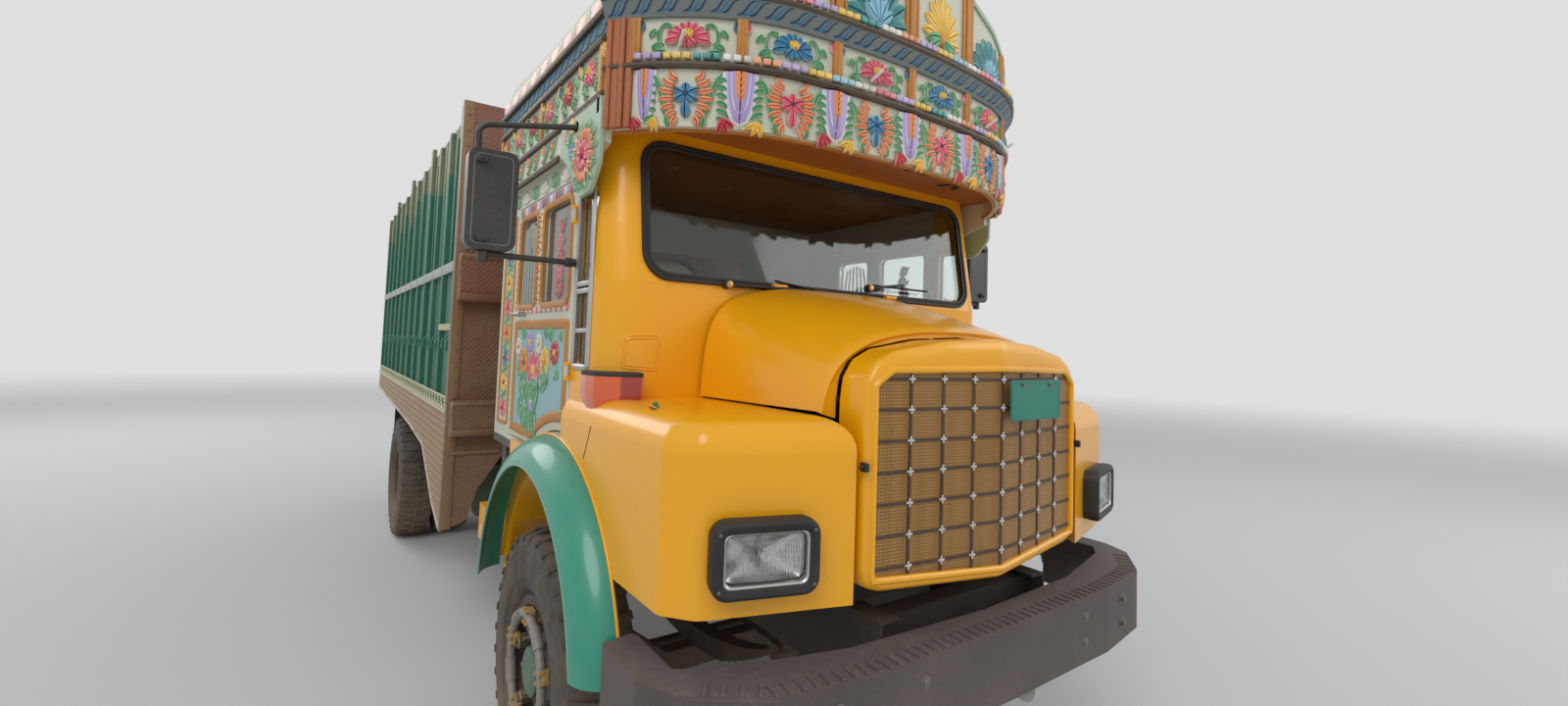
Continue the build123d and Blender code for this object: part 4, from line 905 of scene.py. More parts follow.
def makeUpperPanel(petalTone, cornerTone):
    # an open flower with a yellow cup, green scrolls round it
    parts = [spray(addLeaf([(0, 0.010), (0.004, 0.034), (0, 0.066)], 0.0135, petalTone, 0.017, dropShape),
                   (-104, -78, -52, -26, 0, 26, 52, 78, 104),
                   sizes=(1.25, 1.15, 1, 0.95, 0.95, 0.95, 1, 1.15, 1.25))]
    parts.append(spray(addLeaf([(0, 0.004), (0.003, 0.022), (0, 0.046)], 0.014, petalTone, 0.021),
                       (140, 180, 220)))
    parts.append(spray(addLeaf([(0, -0.012), (0, 0.034)], 0.0125, "yellow", 0.026), (-30, 0, 30)))
    parts.append(addKnob(0.009, petalTone, 0.030))
    side = [addLeaf([(0.052, -0.074), (0.118, -0.060), (0.112, 0.052), (0.070, 0.058)], 0.009, "green",
                    0.015, scrollShape)]
    side.append(addLeaf([(0.088, 0.040), (0.052, 0.062), (0.066, 0.022)], 0.007, "green", 0.014))
    for x, z, angle, size in ((0.118, -0.058, 96, 1.2), (0.126, -0.046, 62, 1.1), (0.112, -0.066, 130, 0.8),
                              (0.134, 0.000, 34, 0.9), (0.128, 0.012, 84, 0.8)):
        side.append(moved(addLeaf([(0, 0), (0.010, 0.022), (0, 0.044)], 0.011, "green", 0.014),
                          flatTurn(angle, x, z, size)))
    side.append(spray(addLeaf([(0, 0), (0.006, 0.022), (0, 0.044)], 0.013, cornerTone, 0.015),
                      (-150, -112, -74), 0.158, 0.064))
    parts += withMirror(side)
    return joined("upperPanel", parts)


def makeWave():
    # one curl of the wave band: three strokes that lean
    strokes = []
    for index, tone in enumerate(("navy", "blue", "navy")):
        x = index * 0.020
        line = [(x - 0.036, -0.022), (x + 0.004, -0.026), (x - 0.006, 0.026), (x + 0.036, 0.020)]
        strokes.append(addLeaf(line, 0.0062, tone, 0.006, scrollShape))
    return joined("wave", strokes)


def makeLotus():
    # a wide fan of petals for the parapet
    parts = [spray(addLeaf([(0, 0.02), (0.006, 0.09), (0, 0.16)], 0.024, "teal", 0.014, dropShape, 11),
                   (-84, -63, -42, -21, 0, 21, 42, 63, 84))]
    parts.append(spray(addLeaf([(0, 0.0), (0, 0.085)], 0.018, "sky", 0.022), (-60, -30, 0, 30, 60)))
    return joined("lotus", parts)


def makeSun():
    parts = [spray(addLeaf([(0, 0.0), (0.010, 0.07), (0, 0.12)], 0.016, "yellow", 0.014, dropShape),
                   range(-90, 91, 22))]
    parts.append(spray(addLeaf([(0, 0.0), (0.012, 0.05), (0, 0.10)], 0.015, "green", 0.016),
                       (-118, -98, 98, 118)))
    parts.append(addKnob(0.020, "orange", 0.018))
    return joined("sun", parts)


# The crown's front line seen from above: a shallow arc and a quarter round to each side
crown = {
    "half": 1.084, "cornerY": -0.420, "roundVia": (0.887, -0.640), "shoulder": (0.570, -0.800),
    "frontY": -0.845, "low": 2.54, "middle": 2.75, "bandLow": 2.925, "bandHigh": 2.984, "cell": 0.369,
    "bandLean": 0.030,
}


def arcData(a, b, c):
    centre = circleThrough(a, b, c)
    angles = [math.atan2(p[1] - centre[1], p[0] - centre[0]) for p in (a, b, c)]
    sweep = (angles[2] - angles[0] + math.pi) % (2 * math.pi) - math.pi
    return centre, math.dist(a, centre), angles[0], sweep


shoulder, roundVia, corner = crown["shoulder"], crown["roundVia"], (crown["half"], crown["cornerY"])
crownArcs = [
    arcData((-corner[0], corner[1]), (-roundVia[0], roundVia[1]), (-shoulder[0], shoulder[1])),
    arcData((-shoulder[0], shoulder[1]), (0, crown["frontY"]), shoulder),
    arcData(shoulder, roundVia, corner),
]
crownLengths = [radius * abs(sweep) for centre, radius, start, sweep in crownArcs]
crownReach = sum(crownLengths) / 2


def crownPoint(distance, out=0.0):
    # the plan point at a distance along the front from its middle, pushed outwards
    left = distance + crownReach
    for (centre, radius, start, sweep), length in zip(crownArcs, crownLengths):
        if left <= length or centre == crownArcs[-1][0]:
            angle = start + sweep * left / length
            return centre[0] + (radius + out) * math.cos(angle), centre[1] + (radius + out) * math.sin(angle)
        left -= length


def onCrown(point):
    x, y = crownPoint(point[0], -point[1])
    return (x, y, point[2])


def crownStrip(name, profile, reach=None, steps=72):
    # a moulding along the crown's front; the profile is a closed loop of (out, z)
    reach = reach or crownReach
    loop = profile + profile[:1]
    last = len(loop) - 1

    def place(u, v):
        out, z = loop[round(u * last)]
        return (*crownPoint(mixed(-reach, reach, v), out), z)
    piece = addSheet(name, last, steps, place, merge=True)
    return capEnds(piece)


def capEnds(piece):
    openMesh(piece)
    bpy.ops.mesh.select_all(action="DESELECT")
    bpy.ops.mesh.select_mode(type="EDGE")
    bpy.ops.mesh.select_non_manifold(extend=False)
    bpy.ops.mesh.edge_face_add()
    return smooth(closeMesh(piece), 40)


def placeOnCrown(name, pieces, finish="carved", way=onCrown):
    return placePiece(bent(joined(name, pieces), way), "chassis", finish, "crown_painted_wood")


moulding = [(-0.004, 0), (0.016, 0.002), (0.024, 0.010), (0.024, 0.018), (0.012, 0.026), (-0.004, 0.026)]
for name, low in (("crownMouldingLow", crown["middle"] - 0.010),
                  ("crownMouldingHigh", crown["bandHigh"] - 0.006)):
    out = 0.0 if low < 2.9 else crown["bandLean"]
    strip = crownStrip(name, [(x + out, low + z) for x, z in moulding])
    placePiece(strip, "chassis", "moulding", "crown_painted_wood")
lean = crown["bandLean"]
band = [(-0.004, crown["bandLow"] - 0.006), (0.014, crown["bandLow"] - 0.006),
        (0.016 + lean, crown["bandHigh"]), (-0.004, crown["bandHigh"])]
placePiece(crownStrip("crownWaveGround", band), "chassis", "bandGround", "crown_painted_wood")
rim = [(-0.010, crown["low"] - 0.008), (0.0, crown["low"] - 0.008), (0.0, crown["low"] + 0.004),
       (-0.010, crown["low"] + 0.004)]
placePiece(crownStrip("crownSoffitRim", [(x - 0.03, z) for x, z in rim]), "chassis", "orangeRail",
           "crown_painted_wood")

# beads stand on both mouldings in groups of three of one colour
beadTones = ("lilac", "yellow", "teal", "white", "peach", "lilac", "yellow", "sky", "white", "pink")
bead = {"width": 0.027, "height": 0.021, "depth": 0.022, "pitch": 0.0335, "group": 3}
beads = []
for row, (z, out) in enumerate(((crown["middle"] + 0.017, 0.010),
                                (crown["bandHigh"] + 0.021, 0.016 + lean * 0.6))):
    count = int(2 * (crownReach - 0.125) / bead["pitch"])
    for index in range(count + 1):
        tone = beadTones[(index // bead["group"] + 4 * row) % len(beadTones)]
        main, edge, vein = tones[tone]
        shade = random.uniform(0.8, 1.15)
        colour = [mixed(a, b, 0.35) * shade for a, b in zip(main, edge)]
        size = (bead["width"] * random.uniform(0.9, 1.04), bead["depth"], bead["height"])
        block = addBlock("bead", [-c / 2 for c in size], [c / 2 for c in size], 0.004, 2)
        block.data.transform(turn(random.uniform(-4, 4), "Y"))
        block.data.transform(shift((index - count / 2) * bead["pitch"], -out - bead["depth"] / 2,
                                   z + bead["height"] / 2))
        beads.append(tintAll(block, colour))
placeOnCrown("crownBeads", beads)

# lower row: a shield under each post, a flower in each panel
lowerRow = []
for tone in ("blue", "pink"):
    panel = makeLowerPanel(tone)
    for index in range(6):
        if (index % 2 == 0) == (tone == "blue"):
            place = shift((index - 2.5) * crown["cell"], 0, 2.650) @ Matrix.Diagonal((1.12, 1, 0.98, 1))
            lowerRow.append(copyOf(panel, place))
    bpy.data.objects.remove(panel)
shield = makeShield()
lowerRow += [copyOf(shield, shift((index - 2) * crown["cell"], 0, 2.642)) for index in range(5)]
for sign in (-1, 1):
    lowerRow.append(copyOf(shield, shift(sign * (3 * crown["cell"] - 0.042), 0, 2.642)
                           @ Matrix.Diagonal((0.62, 1, 1, 1))))
bpy.data.objects.remove(shield)
placeOnCrown("crownLowerCarving", lowerRow)

# upper row: flowers between orange posts, and one small white peg a panel
upperRow = []
for petals, corners, picks in (("pink", "navy", (0, 2, 4)), ("blue", "pink", (1, 3, 5))):
    panel = makeUpperPanel(petals, corners)
    for index in picks:
        upperRow.append(copyOf(panel, shift((index - 2.5) * crown["cell"], 0, 2.848)
                               @ Matrix.Diagonal((1.0, 1, 0.92, 1))))
    bpy.data.objects.remove(panel)
for index in (0, 2, 4, 5):
    s = (index - 2.5) * crown["cell"] - 0.030
    peg = addRod("peg", (s, -0.010, 2.812), (s + 0.026, -0.052, 2.852), 0.0065, 12, 0.002)
    upperRow.append(tintAll(peg, (0.70, 0.70, 0.64)))
placeOnCrown("crownUpperCarving", upperRow)

posts = []
for index in range(7):
    post = addBlock("post", (-0.019, -0.017, 2.768), (0.019, 0.002, 2.921), 0.004, 2)
    groove = addBlock("groove", (-0.005, -0.021, 2.772), (0.005, 0.0, 2.917), 0.002, 1)
    posts.append(joined("post", [post, groove]))
    posts[-1].data.transform(shift((index - 3) * crown["cell"]))
placeOnCrown("crownPosts", posts, "orangeWood")

# fluted boards close the front at both corners
cornerBoards = []
for sign in (-1, 1):
    for index, width in enumerate((0.026, 0.020, 0.030, 0.020)):
        s = sign * (1.128 + index * 0.0255)
        low, high = (s - width / 2, -0.018 - 0.006 * (index % 2), 2.535), (s + width / 2, 0.004, 2.925)
        cornerBoards.append(addBlock("flute", low, high, 0.007, 3))
placeOnCrown("crownCornerBoards", cornerBoards, "cornerWood")

# the wave band leans out, so its strokes lean with it
waveLow, waveHigh = crown["bandLow"], crown["bandHigh"]
wave = makeWave()
waves = []
count = 27
for index in range(count):
    size = random.uniform(0.92, 1.06)
    place = shift((index - (count - 1) / 2) * 2 * crownReach / count, 0, (waveLow + waveHigh) / 2)
    waves.append(copyOf(wave, place @ Matrix.Scale(size, 4)))
bpy.data.objects.remove(wave)


def onBand(point):
    share = (point[2] - waveLow) / (waveHigh - waveLow)
    return onCrown((point[0], point[1] - 0.013 - lean * share, point[2]))


placeOnCrown("crownWaves", waves, way=onBand)


# parapet: lotus and sun panels between posts that follow its arched top
def parapetTop(x):
    stops = ((0, 3.43), (0.38, 3.37), (0.70, 3.24), (1.20, 3.15))
    for (x0, z0), (x1, z1) in zip(stops, stops[1:]):
        if abs(x) <= x1:
            return mixed(z0, z1, (abs(x) - x0) / (x1 - x0))
    return stops[-1][1]


parapetParts, parapetPosts = [], []
lotus, sun = makeLotus(), makeSun()
for index in range(6):
    s = (index - 2.5) * crown["cell"]
    top = parapetTop(crownPoint(s)[0])
    size = (top - 3.03) / 0.24
    which = lotus if index % 2 == 0 else sun
    tall = Matrix.Diagonal((min(size, 1.0), 1, size, 1))
    parapetParts.append(copyOf(which, shift(s, 0, 3.045 if which is lotus else 3.10) @ tall))
for piece in (lotus, sun):
    bpy.data.objects.remove(piece)
placeOnCrown("parapetCarving", parapetParts)
for index in range(7):
    s = (index - 3) * crown["cell"]
    top = parapetTop(crownPoint(s)[0]) - 0.012
    for offset, width, out in ((0, 0.034, 0.016), (-0.030, 0.014, 0.012), (0.030, 0.014, 0.012)):
        low, high = (s + offset - width / 2, -out, 3.005), (s + offset + width / 2, 0.002, top)
        parapetPosts.append(addBlock("post", low, high, 0.004, 2))
placeOnCrown("parapetPosts", parapetPosts, "orangeWood")


def parapetRim(u, v):
    s = mixed(-crownReach, crownReach, v)
    top = parapetTop(crownPoint(s)[0])
    out, up = ((-0.036, -0.022), (0.010, -0.022), (0.010, 0.0), (-0.036, 0.0), (-0.036, -0.022))[round(u * 4)]
    return (*crownPoint(s, out), top + up)


placePiece(capEnds(addSheet("parapetRim", 4, 72, parapetRim, merge=True)), "chassis", "paleGreen",
           "crown_painted_wood")
report("crown front carved")


# Tyres: a turned carcass with sidewall rings, and a ring of angled lugs on each shoulder
tyre = {"radius": 0.525, "bead": 0.094, "rim": 0.2545, "flange": 0.283, "lugs": 34, "lugDepth": 0.017}
carcass = [
    (-tyre["bead"], tyre["rim"]), (-tyre["bead"], tyre["flange"]), (-0.112, 0.296), (-0.122, 0.312),
    (-0.126, 0.330), (-0.129, 0.332), (-0.129, 0.340), (-0.132, 0.342), (-0.1355, 0.385), (-0.1355, 0.412),
    (-0.131, 0.440), (-0.133, 0.442), (-0.132, 0.450), (-0.126, 0.470), (-0.119, 0.497), (-0.104, 0.506),
    (0, 0.509),
]
carcass += [(-x, r) for x, r in reversed(carcass[:-1])]


def lugOutline(reach, foot, tip, sweep):
    # a lug seen from above, from the middle of the tread out over the shoulder
    return [(0.012, -foot), (reach * 0.55, -foot + sweep * 0.5), (reach, sweep - tip), (reach, sweep + tip),
            (reach * 0.55, foot + sweep * 0.5), (0.012, foot)]


def makeTyre(name):
    body = addTurned(name, carcass, (0, 0, 0), 96)
    lugs = []
    pitch = 2 * math.pi / tyre["lugs"]
    radius = tyre["radius"]
    for side in (-1, 1):
        outline = lugOutline(0.128, 0.011, 0.017, 0.020)
        lug = addPlate("lug", outline, -tyre["lugDepth"], 0.0, "z", 0.003, 1)
        for index in range(tyre["lugs"]):
            angle = (index + (0.5 if side > 0 else 0)) * pitch

            def place(point, angle=angle, side=side):
                drop = 0.0 if abs(point.x) < 0.095 else (abs(point.x) - 0.095) ** 2 * 24
                turnBy = angle + point.y / radius
                height = radius + point.z - drop
                return (side * point.x, height * math.sin(turnBy), height * math.cos(turnBy))
            piece = bent(copyOf(lug), place)
            if side < 0:
                piece.data.flip_normals()
            lugs.append(piece)
        bpy.data.objects.remove(lug)
    rib = addTurned("rib", [(-0.016, 0.500), (-0.014, 0.518), (0.014, 0.518), (0.016, 0.500)], (0, 0, 0), 96)
    return joined(name, [body, rib] + lugs)


def addNut(x, y, z, outward, size=0.016, depth=0.022):
    nut = addRod("nut", (x, y, z), (x + outward * depth, y, z), size, 6, 0.002)
    stud = addRod("stud", (x, y, z), (x + outward * depth * 1.7, y, z), size * 0.5, 10, 0.001)
    return [nut, stud]


def ringOf(build, count, radius, start=0.0):
    # what build(y, z) gives at places round a circle
    parts = []
    for index in range(count):
        angle = start + 2 * math.pi * index / count
        parts += build(radius * math.sin(angle), radius * math.cos(angle))
    return parts


tyreMaster = makeTyre("tyreMaster")
frontX, outerX, innerX = 1.008, 1.068, 0.756
rearY = sum(corner.y for corner in localBox("rear_tyres_right")) / 2
axleZ = tyre["radius"]
twins = ((outerX, rearY, 4), (innerX, rearY, 17))
for name, side, spots, body, node in (
        ("tyreFrontRight", -1, ((frontX, 0, 7),), "wheel_front_right", "front_tyre_right"),
        ("tyreFrontLeft", 1, ((frontX, 0, 40),), "wheel_front_left", "front_tyre_left"),
        ("tyresRearRight", -1, twins, "wheels_rear_right", "rear_tyres_right"),
        ("tyresRearLeft", 1, twins, "wheels_rear_left", "rear_tyres_left")):
    tyres = [copyOf(tyreMaster, shift(side * x, y, axleZ) @ turn(angle, "X")) for x, y, angle in spots]
    placePiece(joined(name, tyres), body, "tyre", "tyre", replaces=(node,))
bpy.data.objects.remove(tyreMaster)

# front wheels: ring guard on brackets, nuts, a green hub cap; the CAD rim stays below them
guardOut, guardRadius = 0.126, 0.215
for side, label, body in ((-1, "Right", "wheel_front_right"), (1, "Left", "wheel_front_left")):
    x = side * frontX

    def at(out, y, z):
        return x + side * out, y, axleZ + z

    def atGuard(angle):
        return at(guardOut, guardRadius * math.sin(angle), guardRadius * math.cos(angle))

    ring = [at(guardOut, guardRadius * math.cos(a), guardRadius * math.sin(a))
            for a in [2 * math.pi * i / 48 for i in range(48)]]
    guard = [addTube("ring", ring, 0.0172, 3, closed=True)]
    for index in range(5):
        middle = math.radians(36) + 2 * math.pi * index / 5
        sleeve = [atGuard(middle + step) for step in (-0.20, -0.07, 0.07, 0.20)]
        guard.append(addTube("sleeve", sleeve, 0.0215, 3))
    placePiece(joined("wheelGuard" + label, guard), body, "guard", "wheel_paint")
    brackets = []
    for index in range(5):
        angle = math.radians(72 * index)
        bracket = [addBlock("arm", (0.072, -0.018, 0.150), (0.118, 0.018, 0.197), 0.004),
                   addBlock("clamp", (0.104, -0.026, 0.176), (0.128, 0.026, 0.240), 0.005)]
        for offset in (-0.017, 0.017):
            bracket.append(addRod("bolt", (0.120, offset, 0.190), (0.143, offset, 0.190), 0.009, 6, 0.001))
            bracket.append(addRod("bolt", (0.120, offset, 0.236), (0.143, offset, 0.236), 0.009, 6, 0.001))
        bracket = joined("bracket", bracket)
        bracket.data.transform(Matrix.Diagonal((side, 1, 1, 1)))
        if side < 0:
            bracket.data.flip_normals()
        bracket.data.transform(shift(x, 0, axleZ) @ turn(math.degrees(-angle), "X"))
        brackets.append(bracket)
    placePiece(joined("guardBrackets" + label, brackets), body, "bracketYellow", "wheel_paint")
    nuts = ringOf(lambda y, z: addNut(*at(0.068, y, z), side), 8, 0.142, 0.2)
    placePiece(joined("wheelNuts" + label, nuts), body, "steel", "wheel_paint")
    cap = addTurned("hubCap" + label, [(side * a, r) for a, r in (
        (0.080, 0.0), (0.118, 0.0), (0.121, 0.020), (0.1225, 0.052), (0.1215, 0.066), (0.112, 0.088),
        (0.096, 0.090), (0.080, 0.088), (0.080, 0.0))], (x, 0, axleZ), 40)
    placePiece(tidyFaces(cap), body, "wheelGreen", "wheel_paint")

# rear wheels: nuts and a stepped green hub on the outer face
for side, label, body in ((-1, "Right", "wheels_rear_right"), (1, "Left", "wheels_rear_left")):
    faceX = side * (outerX - 0.078)
    nuts = ringOf(lambda y, z: addNut(faceX, rearY + y, axleZ + z, side, 0.017, 0.024), 10, 0.142)
    placePiece(joined("rearNuts" + label, nuts), body, "steel", "wheel_paint")
    hub = [(0.0, 0.0), (0.052, 0.0), (0.054, 0.040), (0.050, 0.052), (0.030, 0.056), (0.024, 0.080),
           (0.010, 0.086), (0.0, 0.086), (0.0, 0.0)]
    cap = addTurned("rearHub" + label, [(side * (outerX + a - 0.004), r) for a, r in hub],
                    (0, rearY, axleZ), 40)
    placePiece(tidyFaces(cap), body, "wheelGreen", "wheel_paint")
    boltX = side * (outerX + 0.020)
    bolts = ringOf(lambda y, z: addNut(boltX, rearY + y, axleZ + z, side, 0.008, 0.010), 8, 0.069)
    placePiece(joined("rearHubBolts" + label, bolts), body, "steel", "wheel_paint")
report("wheels")


# Load body: painted boards and posts on both sides
load = {
    "half": 1.220, "front": 1.56, "rear": 6.08, "floor": 1.37, "boardX": 1.195, "post": 0.060, "top": 3.12,
    "railZ": (2.182, 2.243),
}
bays = 11
bayPitch = (load["rear"] - load["front"] - load["post"]) / bays
random.seed(11)


def bayStart(index):
    return load["front"] + index * bayPitch


def placeBoth(name, pieces, finish, slotName, body="chassis", replaces=()):
    return placePiece(bothSides(joined(name, pieces)), body, finish, slotName, replaces)


# three upright boards a bay, each its own height, worn to bare wood towards the top
boards, battens = [], []
for index in range(bays):
    y = bayStart(index) + load["post"]
    width = (bayPitch - load["post"]) / 3
    for plank in range(3):
        low = y + plank * width + 0.003
        top = 3.118 - random.uniform(0, 0.05)
        out = load["boardX"] - random.uniform(-0.002, 0.003)
        boards.append(addBlock("board", (load["boardX"] - 0.008, low, 1.445),
                               (out + 0.004, low + width - 0.006, top), 0.002, 1))
    if index % 2 == 0:
        battens.append(addBlock("batten", (load["boardX"], y + width * 1.35, 2.25),
                                (load["boardX"] + 0.016, y + width * 1.62, 3.02), 0.003))
placeBoth("loadBoards", boards + battens, "boardGreen", "load_green")

posts = []
for index in range(bays + 1):
    y = bayStart(index)
    tall = index % 3 == 0
    top = 3.178 if tall else 3.098
    posts.append(addBlock("post", (load["boardX"], y - 0.003, 1.452),
                          (load["half"] + 0.002, min(y + load["post"] + 0.003, load["rear"]), top), 0.005))
    low, high = max(y - 0.009, load["front"]), min(y + load["post"] + 0.009, load["rear"] - 0.001)
    posts.append(addBlock("lip", (load["boardX"], low, 1.452), (load["boardX"] + 0.012, high, top - 0.05),
                          0.002, 1))
placeBoth("loadPosts", posts, "boardGreen", "load_green")

# the pale rail half way up, with bolts, and short ribbed plates near the front
rails = [addBlock("rail", (load["boardX"], load["front"] - 0.02, load["railZ"][0]),
                  (load["half"] + 0.004, load["rear"], load["railZ"][1]), 0.004)]
for index in range(bays + 1):
    y = bayStart(index) + load["post"] / 2
    for z in (load["railZ"][0] + 0.018, load["railZ"][1] - 0.018):
        rails.append(addRod("bolt", (load["half"], y, z), (load["half"] + 0.009, y, z), 0.009, 8, 0.001))
placeBoth("loadRail", rails, "whiteRail", "load_green")
plates = [addBlock("plate", (load["boardX"], 1.560, 1.832), (load["half"] + 0.003, 1.98, 1.872), 0.003)]
for index in range(21):
    y = 1.575 + index * 0.0195
    plates.append(addBlock("rib", (load["half"], y, 1.834), (load["half"] + 0.008, y + 0.008, 1.870),
                           0.002, 1))
placeBoth("ribbedPlate", plates, "creamStrip", "load_green")

# rope hooks: a plate and a bent rod
hooks = []
for index in range(2 * bays):
    y = bayStart(index // 2) + load["post"] + bayPitch * (0.10 + 0.42 * (index % 2))
    x = load["boardX"] + 0.004
    hooks.append(addBlock("hookPlate", (x, y - 0.020, 1.70), (x + 0.007, y + 0.020, 1.80), 0.002, 1))
    route = [(x + 0.006, y, 1.785), (x + 0.020, y, 1.785), (x + 0.026, y, 1.755), (x + 0.026, y, 1.722),
             (x + 0.016, y, 1.712), (x + 0.010, y, 1.730)]
    hooks.append(addTube("hook", route, 0.0065, 2, curved=True))
placeBoth("ropeHooks", hooks, "hookGreen", "load_green")

# lattice strip above the skirt: pale crossed laths on dark green
laths, strip = [], {"low": 1.372, "high": 1.448, "pitch": 0.118}
ground = addBlock("ground", (load["boardX"], load["front"], strip["low"]),
                  (load["half"] - 0.002, load["rear"], strip["high"]), 0.003)
placeBoth("latticeGround", [ground], "boardGreen", "load_green")
lathReach = 0.5 * math.hypot(strip["high"] - strip["low"] - 0.012, 0.09)
middle = (strip["low"] + strip["high"]) / 2
count = int((load["rear"] - load["front"]) / strip["pitch"])
for index in range(count):
    y = load["front"] + (index + 0.5) * strip["pitch"]
    for sign in (-1, 1):
        lath = addBlock("lath", (0, -0.006, -lathReach), (0.007, 0.006, lathReach), 0.002, 1)
        laths.append(moved(lath, shift(load["half"] - 0.003, y, middle) @ turn(sign * 52, "X")))
for z in (strip["low"], strip["high"] - 0.010):
    laths.append(addBlock("edge", (load["half"] - 0.003, load["front"], z),
                          (load["half"] + 0.008, load["rear"], z + 0.010), 0.002, 1))
placeBoth("latticeStrip", laths, "creamStrip", "load_green")

# skirt: ribs along its length, a rolled lower edge painted white and pink
skirtLine = [(load["front"], 0.69), (1.842, 0.773), (2.41, 1.055), (3.156, 1.105), (load["rear"], 1.195)]


def skirtLow(y):
    for (y0, z0), (y1, z1) in zip(skirtLine, skirtLine[1:]):
        if y <= y1:
            return mixed(z0, z1, (y - y0) / (y1 - y0))
    return skirtLine[-1][1]


flutes = []
for index in range(14):
    z = 1.350 - index * 0.042
    ends = [y for y in [load["front"] + 0.004 + i * 0.05 for i in range(91)] if skirtLow(y) < z - 0.012]
    if len(ends) > 2:
        flutes.append(addRod("flute", (load["half"] - 0.003, ends[0], z),
                             (load["half"] - 0.003, ends[-1], z), 0.0105, 10, 0.003))
placeBoth("skirtFlutes", flutes, "skirt", "skirt_tan")
edge = [(load["half"] - 0.004, y, skirtLow(y) + 0.006)
        for y in [mixed(load["front"], load["rear"] - 0.002, index / 60) for index in range(61)]]
placePiece(bothSides(addTube("skirtEdge", edge, 0.012, 2)), "chassis", "skirtEdge", "skirt_tan")
top = addBlock("skirtTop", (load["half"] - 0.006, load["front"], 1.352),
               (load["half"] + 0.010, load["rear"], 1.370), 0.003)
placePiece(bothSides(top), "chassis", "skirtEdge", "skirt_tan")

# front wall of the load space: a folded strip down each side, a seam and rivets
wall = {"y": 1.52, "top": 3.185}
half, y = load["half"], wall["y"]
strips = [addBlock("strip", (half - 0.052, y - 0.007, 0.70), (half + 0.002, y + 0.002, wall["top"]), 0.003),
          addBlock("fold", (half - 0.002, y - 0.007, 0.70), (half + 0.006, y + 0.042, wall["top"]), 0.003),
          addRod("seam", (0.93, y - 0.004, 1.128), (half - 0.004, y - 0.004, 1.128), 0.011, 10)]
for z in [1.17 + index * 0.092 for index in range(22)]:
    strips.append(addRod("rivet", (half - 0.026, y - 0.013, z), (half - 0.026, y, z), 0.008, 8, 0.002))
placeBoth("wallStrips", strips, "wallEdge", "chequer_brown")

# rolled steps on that wall: a ledge that curls under
stepProfile = [(0.0, 0.100), (-0.094, 0.100), (-0.100, 0.088), (-0.078, 0.064), (-0.060, 0.020),
               (-0.062, -0.020), (-0.076, -0.052), (-0.088, -0.078), (-0.082, -0.100), (-0.060, -0.108),
               (-0.024, -0.100), (0.0, -0.090)]
steps = []
for low, high in ((1.23, 1.43), (2.00, 2.28)):
    middle, size = (low + high) / 2, (high - low) / 0.21
    outline = [(wall["y"] + y - 0.002, middle + z * size) for y, z in stepProfile]
    steps.append(addPlate("rolledStep", outline, 0.935, 1.212, "x", 0.008, 3))
placeBoth("rolledSteps", steps, "wallStep", "chequer_brown")

# red panels over the twin wheels
outline = [(3.60, 1.13), (4.88, 1.15), (4.88, 1.36), (3.60, 1.36)]
panel = addPlate("redPanel", outline, 1.150, 1.162, "x", 0.004)
placeBoth("redPanels", [panel], "red", "load_green")
report("load body")


# Front end: frames of moulding carried round flat outlines, and work laid on the CAD's own surfaces
def addFrame(name, outline, profile, place, angle=35):
    # the profile's (out, forward) points carried round an outline that runs anticlockwise
    count, last = len(outline), len(profile)

    def spot(u, v):
        index, (out, forward) = round(v * count) % count, profile[round(u * last) % last]
        before, here, after = outline[index - 1], outline[index], outline[(index + 1) % count]
        run = math.dist(before, after)
        side = ((after[1] - before[1]) / run, (before[0] - after[0]) / run)
        return place(here[0] + side[0] * out, here[1] + side[1] * out, forward)
    return smooth(addSheet(name, last, count, spot, merge=True), angle)


def facing(y):
    return lambda a, b, forward: (a, y - forward, b)


def surfaceOf(*members):
    # the named CAD nodes as one surface to cast rays at, in places from the front axle
    vertices, faces = [], []
    for member in members:
        start, piece = len(vertices), nodes[member]
        vertices += [piece.matrix_world @ vertex.co - Vector((0, frontAxleY, 0))
                     for vertex in piece.data.vertices]
        faces += [[start + index for index in face.vertices] for face in piece.data.polygons]
    return BVHTree.FromPolygons(vertices, faces)


def landing(surface, start, way):
    return surface.ray_cast(Vector(start), Vector(way))[0]


cabWall = {"y": -0.430, "waist": 2.02, "lean": 0.095 / 0.60}


def wallY(z):
    # the cab's front wall leans back above its waist
    return cabWall["y"] + max(0.0, z - cabWall["waist"]) * cabWall["lean"]


def onWall(a, b, forward):
    return (a, wallY(b) - forward, b)


screen = {"half": 0.900, "low": 2.045, "high": 2.560, "corner": 0.090}
outline = roundedRectangle(2 * screen["half"], screen["high"] - screen["low"], screen["corner"], 8,
                           (0, (screen["high"] + screen["low"]) / 2))
profile = [(-0.014, -0.010), (-0.014, 0.006), (-0.009, 0.011), (-0.002, 0.009), (0.002, 0.014),
           (0.011, 0.014), (0.015, 0.008), (0.015, -0.004)]
placePiece(addFrame("screenGasket", outline, profile, onWall, 50), "chassis", "rubber", "lamp_black")
outline = roundedRectangle(2 * screen["half"] - 0.028, screen["high"] - screen["low"] - 0.028,
                           screen["corner"] - 0.012, 8, (0, (screen["high"] + screen["low"]) / 2))
profile = [(-0.003, 0.006), (-0.003, 0.010), (0.003, 0.010), (0.003, 0.006)]
placePiece(addFrame("screenInnerLip", outline, profile, onWall), "chassis", "plastic", "lamp_black")

